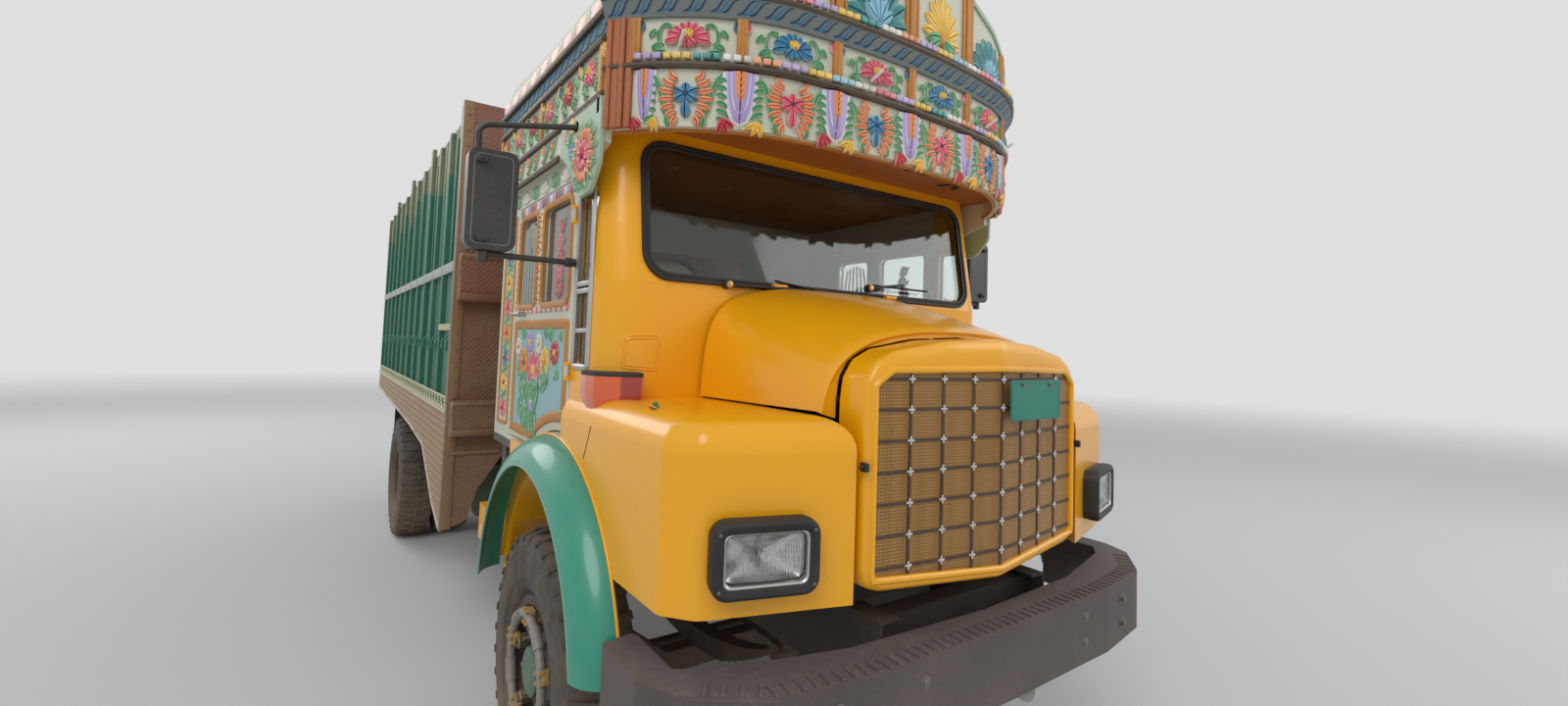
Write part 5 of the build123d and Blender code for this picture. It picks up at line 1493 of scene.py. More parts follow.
# wipers: pivot, cranked arm and a blade in its carrier
wipers = (
    # pivot, end of the arm, blade from and to, in (x, z) on the wall
    ((-0.569, 2.036), (-0.140, 2.040), (-0.340, 2.070), (0.052, 2.030)),
    ((0.190, 2.082), (0.405, 2.112), (0.215, 2.098), (0.590, 2.098)),
)
for index, (pivot, armEnd, bladeStart, bladeEnd) in enumerate(wipers):
    parts = [addRod("post", onWall(*pivot, -0.004), onWall(*pivot, 0.028), 0.011, 16, 0.002)]
    parts.append(addRod("nut", onWall(*pivot, 0.002), onWall(*pivot, 0.016), 0.019, 6, 0.002))
    steps = [(*pivot, 0.024), (mixed(pivot[0], armEnd[0], 0.25), mixed(pivot[1], armEnd[1], 0.2), 0.030),
             (mixed(pivot[0], armEnd[0], 0.7), mixed(pivot[1], armEnd[1], 0.7) + 0.004, 0.030),
             (*armEnd, 0.028)]
    parts.append(addTube("arm", [onWall(*step) for step in steps], 0.0065, 3, curved=True))
    parts.append(addTube("armSpring", [onWall(a, b, c) for a, b, c in (steps[0], steps[1])], 0.010, 3))
    middle = ((bladeStart[0] + bladeEnd[0]) / 2, (bladeStart[1] + bladeEnd[1]) / 2)
    for start, end in ((0.0, 0.5), (0.5, 1.0)):
        a, b = (tuple(mixed(p, q, s) for p, q in zip(bladeStart, bladeEnd)) for s in (start, end))
        bow = ((a[0] + b[0]) / 2, (a[1] + b[1]) / 2)
        parts.append(addTube("bow", [onWall(*a, 0.020), onWall(*bow, 0.031), onWall(*b, 0.020)], 0.0035, 2,
                             curved=True))
    parts.append(addRod("blade", onWall(*bladeStart, 0.018), onWall(*bladeEnd, 0.018), 0.0048, 8))
    parts.append(addRod("carrier", onWall(*middle, 0.020), onWall(*middle, 0.042), 0.006, 10))
    placePiece(joined(f"wiper{index + 1}", parts), "chassis", "lampBlack", "lamp_black")
    cap = addRod(f"wiperCap{index + 1}", onWall(*pivot, 0.026), onWall(*pivot, 0.040), 0.0145, 24, 0.004)
    placePiece(cap, "chassis", "gilt", "lamp_black")


# Grille: a fine square mesh over a folded near-black sheet of painted shade, dark bars on it and a white
# cross at each crossing
grilleSize = {
    "half": 0.515, "low": 1.110, "sideLow": 1.140, "sideHigh": 1.695, "shoulder": 0.455, "shoulderZ": 1.735,
    "peak": 1.742, "pitch": 0.0098, "wire": 0.0056, "columns": 8, "rows": 7, "bar": 0.0095, "stud": 0.0125,
    "rowTop": 1.716, "rowPitch": 0.0925,
}
nose = {"front": -1.300, "fold": 0.070, "half": 0.555, "rear": -1.112, "lip": 0.036, "deep": 0.200,
        "middleZ": 1.44, "steps": 168}


def foldY(x):
    return nose["front"] + nose["fold"] * abs(x) / nose["half"]


def onNose(a, b, forward):
    return (a, foldY(a) - forward, b)


def bothHalves(line):
    # the whole outline from its right half, which runs from the foot to the peak
    return line + [(-x, z) for x, z in reversed(line[1:-1])]


def grilleSpan(x, inset=0.003):
    # the opening's lowest and highest z at x
    size, a = grilleSize, abs(x)
    low = size["low"] + inset + (size["sideLow"] - size["low"]) * a / size["half"]
    if a < size["shoulder"]:
        high = mixed(size["peak"], size["shoulderZ"], a / size["shoulder"])
    else:
        share = (a - size["shoulder"]) / (size["half"] - size["shoulder"])
        high = mixed(size["shoulderZ"], size["sideHigh"], share)
    return low, high - inset


def grilleReach(z, inset=0.003):
    # how far from the middle the opening goes at z
    size, reach = grilleSize, grilleSize["half"]
    if z < size["sideLow"]:
        reach *= (z - size["low"]) / (size["sideLow"] - size["low"])
    elif z > size["shoulderZ"]:
        reach = size["shoulder"] * (size["peak"] - z) / (size["peak"] - size["shoulderZ"])
    elif z > size["sideHigh"]:
        share = (z - size["sideHigh"]) / (size["shoulderZ"] - size["sideHigh"])
        reach = mixed(size["half"], size["shoulder"], share)
    return reach - inset


def grilleWires(low, high, width, columns, rows):
    template, found = addBlock("wireMaster", (0, 0, 0), (1, 1, 1)), []
    runs = []
    for x in columns:
        bottom, top = grilleSpan(x)
        if top > bottom:
            runs.append(((x, bottom), (x, top), (width / 2, 0)))
    for z in rows:
        reach = grilleReach(z)
        if reach > 0:
            runs += [((0, z), (reach, z), (0, width / 2)), ((-reach, z), (0, z), (0, width / 2))]
    for a, b, across in runs:
        wire = template.data.copy()
        for vertex in wire.vertices:
            x, z = a if vertex.co.x < 0.5 else b
            sign = -1 if vertex.co.y < 0.5 else 1
            vertex.co = onNose(x + sign * across[0], z + sign * across[1], low if vertex.co.z < 0.5 else high)
        piece = bpy.data.objects.new("wire", wire)
        bpy.context.scene.collection.objects.link(piece)
        found.append(piece)
    bpy.data.objects.remove(template)
    return tidyFaces(joined("wires", found), 0.0)


across = [(index + 0.5) * grilleSize["pitch"] for index in range(-54, 54)]
upwards = [grilleSize["low"] + (index + 0.5) * grilleSize["pitch"] for index in range(71)]
across = [x for x in across if abs(x) < grilleSize["half"] - 0.004]
mesh = grilleWires(-0.0085, -0.0060, grilleSize["wire"], across, upwards)
mesh.name = "grilleMesh"
placePiece(mesh, "chassis", "grille", "grille_brown")
columnLines = [grilleSize["half"] * 2 * index / grilleSize["columns"] - grilleSize["half"]
               for index in range(1, grilleSize["columns"])]
rowLines = [grilleSize["rowTop"] - grilleSize["rowPitch"] * index for index in range(grilleSize["rows"])]
bars = grilleWires(-0.0060, -0.0024, grilleSize["bar"], columnLines, rowLines)
bars.name = "grilleBars"
placePiece(bars, "chassis", "grilleDark", "grille_brown")


# the sheet behind the mesh is painted shade: near-black for the dark seen through its holes
def behindMesh(u, v):
    x = mixed(-1, 1, u) * (grilleSize["half"] - 0.006)
    return onNose(x, mixed(*grilleSpan(x), v), -0.016)


back = addSheet("grilleShadeSheet", 40, 24, behindMesh, thickness=0.008)
placePiece(back, "chassis", "paintedShade", "grille_brown", replaces=("grille",))
cross = [addBlock("arm", (-0.0032, -0.004, -grilleSize["stud"]), (0.0032, 0, grilleSize["stud"]), 0.001, 1),
         addBlock("arm", (-grilleSize["stud"], -0.004, -0.0032), (grilleSize["stud"], 0, 0.0032), 0.001, 1)]
cross = joined("cross", cross + [addRod("pin", (0, -0.007, 0), (0, 0, 0), 0.0042, 10, 0.001)])
places = []
plateArea = {"left": 0.0, "right": 0.310, "low": 1.570, "high": 1.725}
for x in columnLines:
    for z in rowLines:
        hidden = plateArea["left"] < x < plateArea["right"] and plateArea["low"] < z < plateArea["high"]
        if not hidden and abs(x) < grilleReach(z) - 0.01:
            tilt = 0 if x == 0 else math.copysign(math.degrees(math.atan2(nose["fold"], nose["half"])), x)
            places.append(shift(x, foldY(x) + 0.0026, z) @ turn(tilt, "Z"))
placePiece(repeated("grilleCrosses", cross, places), "chassis", "hook", "grille_brown")

# the nose: one pressed shell with rounded edges round the grille's opening
noseEdge = bothHalves([
    (0.0, 1.070), (0.500, 1.096), (0.541, 1.118), (nose["half"], 1.160), (nose["half"], 1.640),
    (0.546, 1.712), (0.510, 1.768), (0.440, 1.802), (0.240, 1.836), (0.0, 1.850)])
hole = bothHalves([
    (0.0, grilleSize["low"]), (grilleSize["half"], grilleSize["sideLow"]),
    (grilleSize["half"], grilleSize["sideHigh"]), (grilleSize["shoulder"], grilleSize["shoulderZ"]),
    (0.0, grilleSize["peak"])])


def byAngle(line):
    return [(math.atan2(z - nose["middleZ"], x), (x, z)) for x, z in alongLine(line, 1400, closed=True)]


def fromMiddle(line, steps):
    # the outline's points by their angle about the nose's middle, so inner and outer ones pair up
    found, angles = [], byAngle(line)
    for index in range(steps):
        aim = -math.pi + 2 * math.pi * (index + 0.5) / steps
        found.append(min(angles, key=lambda entry: abs(entry[0] - aim))[1])
    return found


outer, inner = fromMiddle(noseEdge, nose["steps"]), fromMiddle(hole, nose["steps"])
# along the pressed section: share from the opening to the edge, then how far back
noseSection = ((0.0, 0.020), (0.0, 0.004), (0.10, 0.0), (0.60, 0.0), (0.80, 0.003), (0.93, 0.010),
               (0.985, 0.021), (1.0, nose["lip"]), (1.0, 0.100), (1.0, nose["deep"]))


def onShell(u, v):
    share, back = noseSection[round(u * (len(noseSection) - 1))]
    index = round(v * nose["steps"]) % nose["steps"]
    x, z = (mixed(a, b, share) for a, b in zip(inner[index], outer[index]))
    y = foldY(x) + back
    if back > nose["lip"]:
        y = mixed(foldY(x) + nose["lip"], nose["rear"], (back - nose["lip"]) / (nose["deep"] - nose["lip"]))
    return (x, y, z)


shell = addSheet("noseShell", len(noseSection) - 1, nose["steps"], onShell, thickness=0.0035, merge=True)
placePiece(smooth(shell, 60), "chassis", "yellow", "body_yellow", replaces=("nose",))

# the bonnet: a domed skin with soft shoulders, and its hinge barrels at the rear
# at its front and rear: y, half width below, half width and z at the shoulder, z in the middle
bonnetRows = ((-1.100, 0.606, 0.577, 1.738, 1.868), (-0.446, 0.660, 0.640, 1.950, 2.036))
bonnetSize = {"low": 1.606, "bulge": 0.014, "hinge": (0.320, -0.448, 2.048), "barrel": (0.024, 0.0095)}


def onBonnet(u, v):
    y, low, wide, shoulder, top = (mixed(a, b, v) for a, b in zip(*bonnetRows))
    top += bonnetSize["bulge"] * math.sin(math.pi * v)
    side, share = (1, 1 - 2 * u) if u < 0.5 else (-1, 2 * u - 1)
    line = [(0.0, top), (wide * 0.62, top + 0.004), (wide * 1.01, shoulder + 0.070),
            (wide * 1.005, shoulder - 0.040), (low, bonnetSize["low"])]
    x, z = bezier(line, share)
    lip = 0.0 if 0.03 < v < 0.97 else 0.006
    return (side * x, y, z - lip)


skin = addSheet("bonnetSkin", 72, 30, onBonnet, thickness=0.012)
tidyFaces(skin)
noseAngles = byAngle(noseEdge)


def onFlange(u, v):
    # from the skin's front edge in to just outside the nose
    x, y, z = onBonnet(u, 0.0)
    middle = nose["middleZ"]
    edge = min(noseAngles, key=lambda entry: abs(entry[0] - math.atan2(z - middle, x)))[1]
    reach = min(1.0, (math.hypot(edge[0], edge[1] - middle) + 0.005) / math.hypot(x, z - middle))
    share = mixed(1.0, reach, v)
    return (x * share, y + 0.001, middle + (z - middle) * share)


flange = addSheet("bonnetFlange", 72, 2, onFlange, thickness=0.003)
placePiece(tidyFaces(flange), "bonnet", "yellow", "body_yellow")
hingeX, hingeY, hingeZ = bonnetSize["hinge"]
half, radius = bonnetSize["barrel"]
barrels = [addRod("barrel", (x - half, hingeY, hingeZ), (x + half, hingeY, hingeZ), radius, 16)
           for x in (-hingeX, hingeX)]
placePiece(joined("bonnetShell", [skin] + barrels), "bonnet", "yellow", "body_yellow", replaces=("bonnet",))
crease = []
for sign in (-1, 1):
    route = [onBonnet(0.5 + sign * 0.155, v) for v in [0.04 + 0.92 * index / 20 for index in range(21)]]
    crease.append(addTube("crease", [(x, y, z + 0.0005) for x, y, z in route], 0.0035, 2))
placePiece(joined("bonnetCreases", crease), "bonnet", "yellow", "body_yellow")

# the pressed bead round the opening, and the blank plate with its two straps
outline = bothHalves([(0, 1.100), (0.525, 1.131), (0.525, 1.700), (0.460, 1.744), (0, 1.752)])
outline = alongLine(outline, 150, closed=True)
profile = [(-0.012, -0.010), (-0.011, 0.004), (-0.005, 0.009), (0.003, 0.009), (0.009, 0.003),
           (0.011, -0.003)]
placePiece(addFrame("noseBead", outline, profile, onNose, 60), "chassis", "yellow", "body_yellow")
plateY, plateMiddle = -1.3215, (0.155, 1.6475)
outline = roundedRectangle(0.290, 0.135, 0.010, 3, plateMiddle)
parts = [addPlate("board", outline, plateY, plateY + 0.003, "y")]
outline = roundedRectangle(0.280, 0.125, 0.010, 4, plateMiddle)
profile = [(-0.004, 0.0), (-0.003, 0.0018), (0.0, 0.0018), (0.001, 0.0)]
parts.append(addFrame("rim", outline, profile, facing(plateY)))
placePiece(joined("numberPlateBlank", parts), "chassis", "plate", "flare_green")
parts = []
for x in (0.075, 0.235):
    low, high = (x - 0.011, plateY + 0.003, 1.585), (x + 0.011, plateY + 0.006, 1.712)
    parts.append(addRod("bolt", (x, plateY - 0.006, 1.700), (x, foldY(x), 1.700), 0.0055, 6, 0.001))
    parts.append(addRod("washer", (x, plateY - 0.0016, 1.700), (x, plateY, 1.700), 0.011, 16))
    parts.append(addBlock("strap", low, high, 0.001, 1))
    parts.append(addRod("spacer", (x, plateY + 0.005, 1.600), (x, foldY(x) + 0.002, 1.600), 0.007, 8))
placePiece(joined("numberPlateStraps", parts), "chassis", "steel", "hook_white")


# Headlamps: rubber bezel in steps, bright rim, reflector with its bulb and a fluted glass
lamp = {
    "x": 0.840, "z": 1.2385, "front": -1.190, "bezelWide": 0.300, "bezelHigh": 0.201, "glassWide": 0.238,
    "glassHigh": 0.141, "flutes": 30, "turnY": -1.125, "turned": 16.5,
}
lampTurn = shift(lamp["x"], lamp["turnY"]) @ turn(lamp["turned"], "Z") @ shift(-lamp["x"], -lamp["turnY"])
onLamp = facing(lamp["front"])


def lampOutline(wide, high, radius, steps=7):
    return roundedRectangle(wide, high, radius, steps, (lamp["x"], lamp["z"]))


profile = [(-0.036, -0.020), (-0.034, 0.004), (-0.026, 0.010), (-0.010, 0.013), (-0.002, 0.009), (0.002, 0.0),
           (0.002, -0.030)]
bezelOutline = lampOutline(lamp["bezelWide"], lamp["bezelHigh"], 0.045)
bezel = addFrame("headlampBezel", bezelOutline, profile, onLamp, 50)
profile = [(-0.006, -0.014), (-0.006, 0.003), (-0.001, 0.007), (0.004, 0.005), (0.005, -0.006)]
rim = addFrame("headlampRim", lampOutline(lamp["glassWide"], lamp["glassHigh"], 0.026), profile, onLamp, 50)


def roundedSpot(u, v, wide, high, radius):
    # a square grid pulled in at its corners to a rounded rectangle
    x, z = mixed(-1, 1, u) * wide / 2, mixed(-1, 1, v) * high / 2
    inX, inZ = abs(x) - wide / 2 + radius, abs(z) - high / 2 + radius
    if inX > 0 and inZ > 0:
        run = math.hypot(inX, inZ)
        reach = max(inX, inZ)
        x = math.copysign(wide / 2 - radius + inX * reach / run, x)
        z = math.copysign(high / 2 - radius + inZ * reach / run, z)
    return lamp["x"] + x, lamp["z"] + z, max(abs(x) / wide, abs(z) / high) * 2


def reflector(u, v):
    x, z, out = roundedSpot(u, v, 0.222, 0.126, 0.022)
    around = math.hypot((x - lamp["x"]) / 0.111, (z - lamp["z"]) / 0.063)
    return (x, -1.172 + 0.046 * max(0.0, 1 - out ** 2.2) + 0.004 * math.cos(around * 5), z)


def lampGlass(u, v):
    x, z, out = roundedSpot(u, v, 0.226, 0.130, 0.023)
    bow = 0.006 * (1 - out ** 2)
    flute = 0.0011 * math.cos(2 * math.pi * lamp["flutes"] * u) if out < 0.93 else 0.0
    return (x, -1.1815 - bow + flute, z)


profile = [(0.0, -0.072), (0.0, 0.0), (-0.031, 0.0), (-0.031, -0.072)]
housing = [addFrame("ring", bezelOutline, profile, onLamp),
           addPlate("back", bezelOutline, -1.119, -1.060, "y", 0.006)]
bowl = addSheet("headlampReflector", 20, 14, reflector, thickness=0.002)
bulb = addRod("bulb", (lamp["x"], -1.163, lamp["z"]), (lamp["x"], -1.132, lamp["z"]), 0.011, 14, 0.004)
glassPane = addSheet("headlampGlass", 120, 10, lampGlass, thickness=0.003, inward=True)
screws = []
for a, b in ((-0.132, -0.072), (0.132, -0.072), (-0.132, 0.072), (0.132, 0.072)):
    spot = (lamp["x"] + a, lamp["z"] + b)
    screws.append(addRod("screw", onLamp(*spot, 0.010), onLamp(*spot, 0.0145), 0.005, 10, 0.001))
screws = joined("headlampScrews", screws)
for piece, finish, slotName, stands in (
        (joined("headlampHousing", housing), "lampBlack", "lamp_black", ("headlamps",)),
        (bezel, "rubber", "lamp_black", ()), (rim, "alloy", "lamp_black", ()),
        (joined("headlampReflector", [bowl, bulb]), "chrome", "lamp_black", ()),
        (screws, "steel", "lamp_black", ()),
        (glassPane, "lens", "glass", ())):
    piece.data.transform(lampTurn)
    placePiece(bothSides(piece), "chassis", finish, slotName, replaces=stands)


# Indicators: a lens that wraps the corner and tapers to a point below, with a flat black cap
def indicatorRing(share):
    plan = [(0.920, -0.432), (0.932, -0.508), (0.985, -0.478), (1.040, -0.444), (1.068, -0.412),
            (1.076, -0.345), (1.075, -0.290), (1.020, -0.300), (0.985, -0.360)]
    root = (1.030, -0.400)
    return [tuple(mixed(b, a, share) for a, b in zip(point, root))
            for point in alongLine(plan, 72, closed=True)]


def indicatorTint(u, v):
    red = 0.13 < u < 0.26 and v > 0.55
    dark = u < 0.10 and v < 0.5
    return (0.10, 0.012, 0.004) if dark else (0.36, 0.020, 0.006) if red else (0.74, 0.105, 0.006)


def indicatorSpot(u, v):
    z = mixed(1.500, 1.678, v)
    share = min(1.0, 0.10 + 0.95 * min(1.0, v / 0.62) ** 0.8)
    x, y = indicatorRing(share)[round(u * 72) % 72]
    flute = 0.0012 if round(u * 72) % 2 else 0.0
    away = Vector((x - 1.00, y + 0.39))
    away = away.normalized() * flute if away.length else away
    return (x + away.x, y + away.y, z)


lensPiece = capEnds(addSheet("indicatorLens", 72, 14, indicatorSpot, merge=True, tint=indicatorTint))
cap = addPlate("indicatorCap", indicatorRing(1.03)[::3], 1.676, 1.694, "z", 0.004, 2)
placePiece(bothSides(lensPiece), "chassis", "indicator", "indicator_amber", replaces=("indicators",))
placePiece(bothSides(cap), "chassis", "rubber", "lamp_black")

# a blank pressed panel with a double rim beside the bonnet, following the cab's surface
cabSurface = surfaceOf("cab_front", "fenders")


def onCowl(a, b, forward):
    spot = landing(cabSurface, (a, -0.9, b), (0, 1, 0))
    return (spot.x, spot.y - forward, spot.z)


outline = []
corners = ((-0.846, 1.698), (-0.836, 1.828), (-0.968, 1.822), (-0.978, 1.708))
for index, here in enumerate(corners):
    before, after = corners[index - 1], corners[(index + 1) % 4]
    start = [mixed(a, b, 0.16) for a, b in zip(here, before)]
    end = [mixed(a, b, 0.16) for a, b in zip(here, after)]
    outline += [bezier([tuple(start), here, tuple(end)], step / 4) for step in range(5)]
outline = alongLine(outline, 64, closed=True)
for name, out in (("cowlPanelRim", 0.0), ("cowlPanelInnerRim", -0.010)):
    profile = [(out - 0.0035, -0.003), (out - 0.0025, 0.0022), (out, 0.0034), (out + 0.0025, 0.0022),
               (out + 0.0035, -0.003)]
    placePiece(addFrame(name, outline, profile, onCowl, 60), "chassis", "yellow", "body_yellow")

# small things on the fenders: a broken clip in its dent, a latch at the seam and seam lines
fenderSurface = surfaceOf("fenders")
spot = landing(fenderSurface, (-1.000, -0.767, 1.9), (0, 0, -1))
parts = [addTurned("dent", [(0, 0), (0.001, 0.020), (-0.002, 0.026), (-0.004, 0.026)], (0, 0, 0), 20, False)]
parts[0].data.transform(Matrix.Translation(spot + Vector((0, 0, 0.001))) @ turn(-62, "Y"))
placePiece(parts[0], "chassis", "yellow", "body_yellow")
clip = joined("fenderClip", [
    addBlock("clipFoot", (-0.010, -0.012, 0.0), (0.010, 0.012, 0.005), 0.0015, 1),
    addBlock("clipTongue", (-0.004, -0.010, 0.004), (0.008, 0.006, 0.019), 0.002, 1)])
clip.data.transform(Matrix.Translation(spot + Vector((0, 0, 0.001))) @ turn(-22, "Y"))
placePiece(clip, "chassis", "hookGreen", "flare_green")
latch = [addBlock("body", (-0.568, -1.250, 1.450), (-0.554, -1.222, 1.476), 0.003, 2),
         addRod("bolt", (-0.580, -1.236, 1.463), (-0.556, -1.236, 1.463), 0.006, 10, 0.001)]
placeBoth("noseLatch", latch, "lampBlack", "lamp_black")


def laidLine(name, surface, points, way, radius=0.0025, start=0.12, steps=24):
    # a thin bead of sealing laid on a surface: points are aimed along way from just outside it
    route = []
    for point in alongLine(points, steps):
        away = Vector(point) - Vector(way) * start
        spot = landing(surface, away, way)
        if spot:
            route.append(tuple(spot - Vector(way) * radius * 0.3))
    return addTube(name, route, radius, 2)


seams = [laidLine("seam", fenderSurface, [(-1.08, -0.432, 1.508), (-1.08, -0.372, 1.390)], (1, 0, 0), 0.0016)]
placeBoth("fenderSeams", seams, "moulding", "body_yellow")

# Flares: a thin yellow bead where they meet the side and a pale worn lip
arch = {"y": -0.030, "z": 0.660, "root": 0.765, "lip": 0.651, "frontZ": 0.795, "rearZ": 0.725, "reach": 0.118}


def archLine(radius, x, steps=60):
    start = math.asin((arch["frontZ"] - arch["z"]) / radius)
    end = math.pi - math.asin((arch["rearZ"] - arch["z"]) / radius)
    angles = [mixed(start, end, index / steps) for index in range(steps + 1)]
    return [(x, arch["y"] - radius * math.cos(angle), arch["z"] + radius * math.sin(angle))
            for angle in angles]


piece = addTube("flareBead", archLine(arch["root"] + 0.003, 1.0815), 0.0055, 3)
placePiece(bothSides(piece), "chassis", "yellow", "body_yellow")
piece = addTube("flareLip", archLine(arch["lip"] + 0.002, 1.080 + arch["reach"] - 0.004), 0.0052, 3)
placePiece(bothSides(piece), "chassis", "flareLip", "flare_green")

# Bumper: bolts through its face, rolled lips above and below
bumperSurface, bumperFront = surfaceOf("bumper"), -1.3599
parts = []
for x in (-0.72, -0.42, 0.42, 0.72):
    for z in (0.785, 0.875):
        spot = landing(bumperSurface, (x, -2, z), (0, 1, 0))
        # near the middle the heads sit lower, so nothing stands in front of the bumper's foremost line
        proud = min(0.015, spot.y - bumperFront)
        parts.append(addRod("washer", spot + Vector((0, 0.004, 0)), spot - Vector((0, proud * 0.3, 0)),
                            0.019, 18, 0.001))
        parts.append(addRod("bolt", spot, spot - Vector((0, proud, 0)), 0.012, 6, 0.001))
placePiece(joined("bumperBolts", parts), "chassis", "steel", "bumper_black")
lips = []
for z in (0.724, 0.934):
    route = []
    for index in range(61):
        x = mixed(-1.08, 1.08, index / 60)
        spot = landing(bumperSurface, (x, -2, min(max(z, 0.73), 0.93)), (0, 1, 0))
        route.append((spot.x, spot.y + 0.0095, z))
    lips.append(addTube("lip", route, 0.009, 4))
placePiece(joined("bumperLips", lips), "chassis", "bumper", "bumper_black")
ribs = []
for index in range(56):
    x = mixed(-1.045, 1.045, index / 55)
    front = landing(bumperSurface, (x, -2, 0.925), (0, 1, 0))
    tilt = math.degrees(math.atan2(landing(bumperSurface, (x + 0.02, -2, 0.925), (0, 1, 0)).y - front.y,
                                   0.02))
    ribs.append(moved(addBlock("rib", (-0.0065, 0.002, 0.938), (0.0065, 0.062, 0.9495), 0.0025, 1),
                      shift(x, front.y) @ turn(tilt, "Z")))
placePiece(joined("bumperRibs", ribs), "chassis", "bumper", "bumper_black")

# Mirrors: an inner frame line on the shell, the mirror glass behind, clamps and a knob on the tube
mirror = {"x": 1.375, "y": -0.115, "z": 2.290, "wide": 0.170, "high": 0.360, "deep": 0.060}


def mirrorOutline(inset, radius, steps):
    centre = (mirror["x"], mirror["z"])
    return roundedRectangle(mirror["wide"] - inset, mirror["high"] - inset, radius, steps, centre)


profile = [(-0.003, -0.002), (-0.002, 0.002), (0.002, 0.002), (0.003, -0.002)]
front, rear = mirror["y"] - mirror["deep"] / 2, mirror["y"] + mirror["deep"] / 2
line = addFrame("mirrorInnerLine", mirrorOutline(0.040, 0.020, 5), profile, facing(front))
placePiece(bothSides(line), "chassis", "mirrorLine", "mirror_black")
glassPlate = addPlate("mirrorGlass", mirrorOutline(0.016, 0.026, 5), rear - 0.001, rear + 0.002, "y")
placePiece(bothSides(glassPlate), "chassis", "chrome", "mirror_black")
profile = [(-0.010, -0.006), (-0.010, 0.004), (-0.004, 0.008), (0.002, 0.006), (0.004, -0.004)]
rim = addFrame("mirrorRim", mirrorOutline(0.010, 0.032, 6), profile,
               lambda a, b, forward: (-a + 2 * mirror["x"], rear + forward, b), 50)
placePiece(bothSides(rim), "chassis", "rubber", "mirror_black")
parts = []
for x, z in ((1.404, 2.150), (1.418, 2.430)):
    parts.append(addBlock("clamp", (x - 0.020, mirror["y"] - 0.046, z - 0.013),
                          (x + 0.020, mirror["y"] + 0.012, z + 0.013), 0.004, 2))
    parts.append(addRod("bolt", (x, mirror["y"] - 0.054, z), (x, mirror["y"] - 0.040, z), 0.007, 6, 0.001))
parts.append(addRod("knob", (1.392, mirror["y"], 2.068), (1.392, mirror["y"], 2.112), 0.019, 20, 0.005))
parts.append(addRod("collar", (1.070, -0.118, 2.097), (1.104, -0.117, 2.097), 0.018, 18, 0.003))
placeBoth("mirrorClamps", parts, "mirror", "mirror_black")

# dark petals of painted shade, in fours, where cuts go through the roof board over the windscreen
petals = []
for x, y in ((-0.64, -0.56), (-0.33, -0.64), (0.0, -0.66), (0.33, -0.64), (0.64, -0.56)):
    for angle in (45, 135, 225, 315):
        cosine, sine = math.cos(math.radians(angle)), math.sin(math.radians(angle))
        line = [(0.018 * cosine, 0.018 * sine), (0.100 * cosine, 0.100 * sine)]
        points = []
        for step in range(16):
            share = step / 8 if step < 8 else (16 - step) / 8
            side = 0.022 * math.sin(math.pi * share) * (1 if step < 8 else -1)
            along = [mixed(a, b, share) for a, b in zip(*line)]
            points.append((x + along[0] - side * sine, y + along[1] + side * cosine))
        petals.append(addPlate("petal", points, 2.6190, 2.6205, "z"))
placePiece(joined("roofPetals", petals), "chassis", "paintedShade", "soffit_orange")
report("front end dressed")


# Sides of the cab: carved rows over the doors, painted doors, window frames, wing boards
side = {
    "crown": 1.084, "door": 1.052, "front": -0.415, "rear": 1.105, "panels": 6, "rowA": 2.612, "rowB": 2.777,
    "waveLow": 2.888, "waveHigh": 2.962,
}
sidePitch = (side["rear"] - side["front"]) / side["panels"]


def onSide(plane):
    # work laid out as at the crown's front stands on the right side; along runs from -y
    return shift(-plane) @ turn(-90, "Z")


def sidePlace(plane):
    return lambda a, b, forward: (-plane - forward, -a, b)


def placeSide(piece, plane, finish="carved", slotName="crown_painted_wood", body="chassis"):
    # a door's work rides its own door, other work is one piece for both sides
    if plane:
        piece.data.transform(onSide(plane))
    if body != "door":
        return placePiece(bothSides(piece), body, finish, slotName)
    twin = mirrored(piece, piece.name + "Left")
    piece.name += "Right"
    placePiece(twin, "door_left", finish, slotName)
    return placePiece(piece, "door_right", finish, slotName)


def addBlossom(tone, heart, radius, petals=6, rise=0.010):
    leaf = addLeaf([(0, radius * 0.1), (radius * 0.08, radius * 0.6), (0, radius)], radius * 0.36, tone,
                   rise, dropShape, 6)
    parts = [spray(leaf, [360 * index / petals for index in range(petals)]),
             addKnob(radius * 0.30, heart, rise * 1.5)]
    return joined("blossom", parts)


def addSprig(tone, length, half, angles, rise=0.008):
    leaf = addLeaf([(0, 0), (length * 0.18, length * 0.5), (0, length)], half, tone, rise, petalShape, 6)
    return spray(leaf, angles)


# toothed mouldings between the rows
teeth = addBlock("tooth", (-0.005, -0.018, -0.010), (0.005, -0.002, 0.001), 0.002, 1)
toothPlaces, strips = [], []
for low, out in ((2.538, 0.012), (2.664, 0.014), (2.862, 0.018), (2.962, 0.022)):
    start, end = (0.075, side["rear"]) if low < 2.6 else (side["front"], side["rear"])
    strips.append(addBlock("strip", (-end, -out, low), (-start, 0.002, low + 0.020), 0.004))
    toothPlaces += [shift(-start - (index + 0.5) * 0.0215, 0.004 - out + 0.012, low)
                    for index in range(int((end - start) / 0.0215))]
strips.append(repeated("teeth", teeth, toothPlaces))
placeSide(joined("sideMouldings", strips), side["crown"], "moulding")

ground = addBlock("sideWaveGround", (-side["rear"], -0.006, side["waveLow"]),
                  (-side["front"], 0.002, side["waveHigh"]), 0.002)
placeSide(ground, side["crown"], "bandGround")
wave = makeWave()
count = 18
placeSide(repeated("sideWaves", wave, [
    shift(-side["rear"] + (index + 0.5) * (side["rear"] - side["front"]) / count, -0.006,
          (side["waveLow"] + side["waveHigh"]) / 2) @ Matrix.Scale(random.uniform(0.92, 1.05), 4)
    for index in range(count)]), side["crown"])

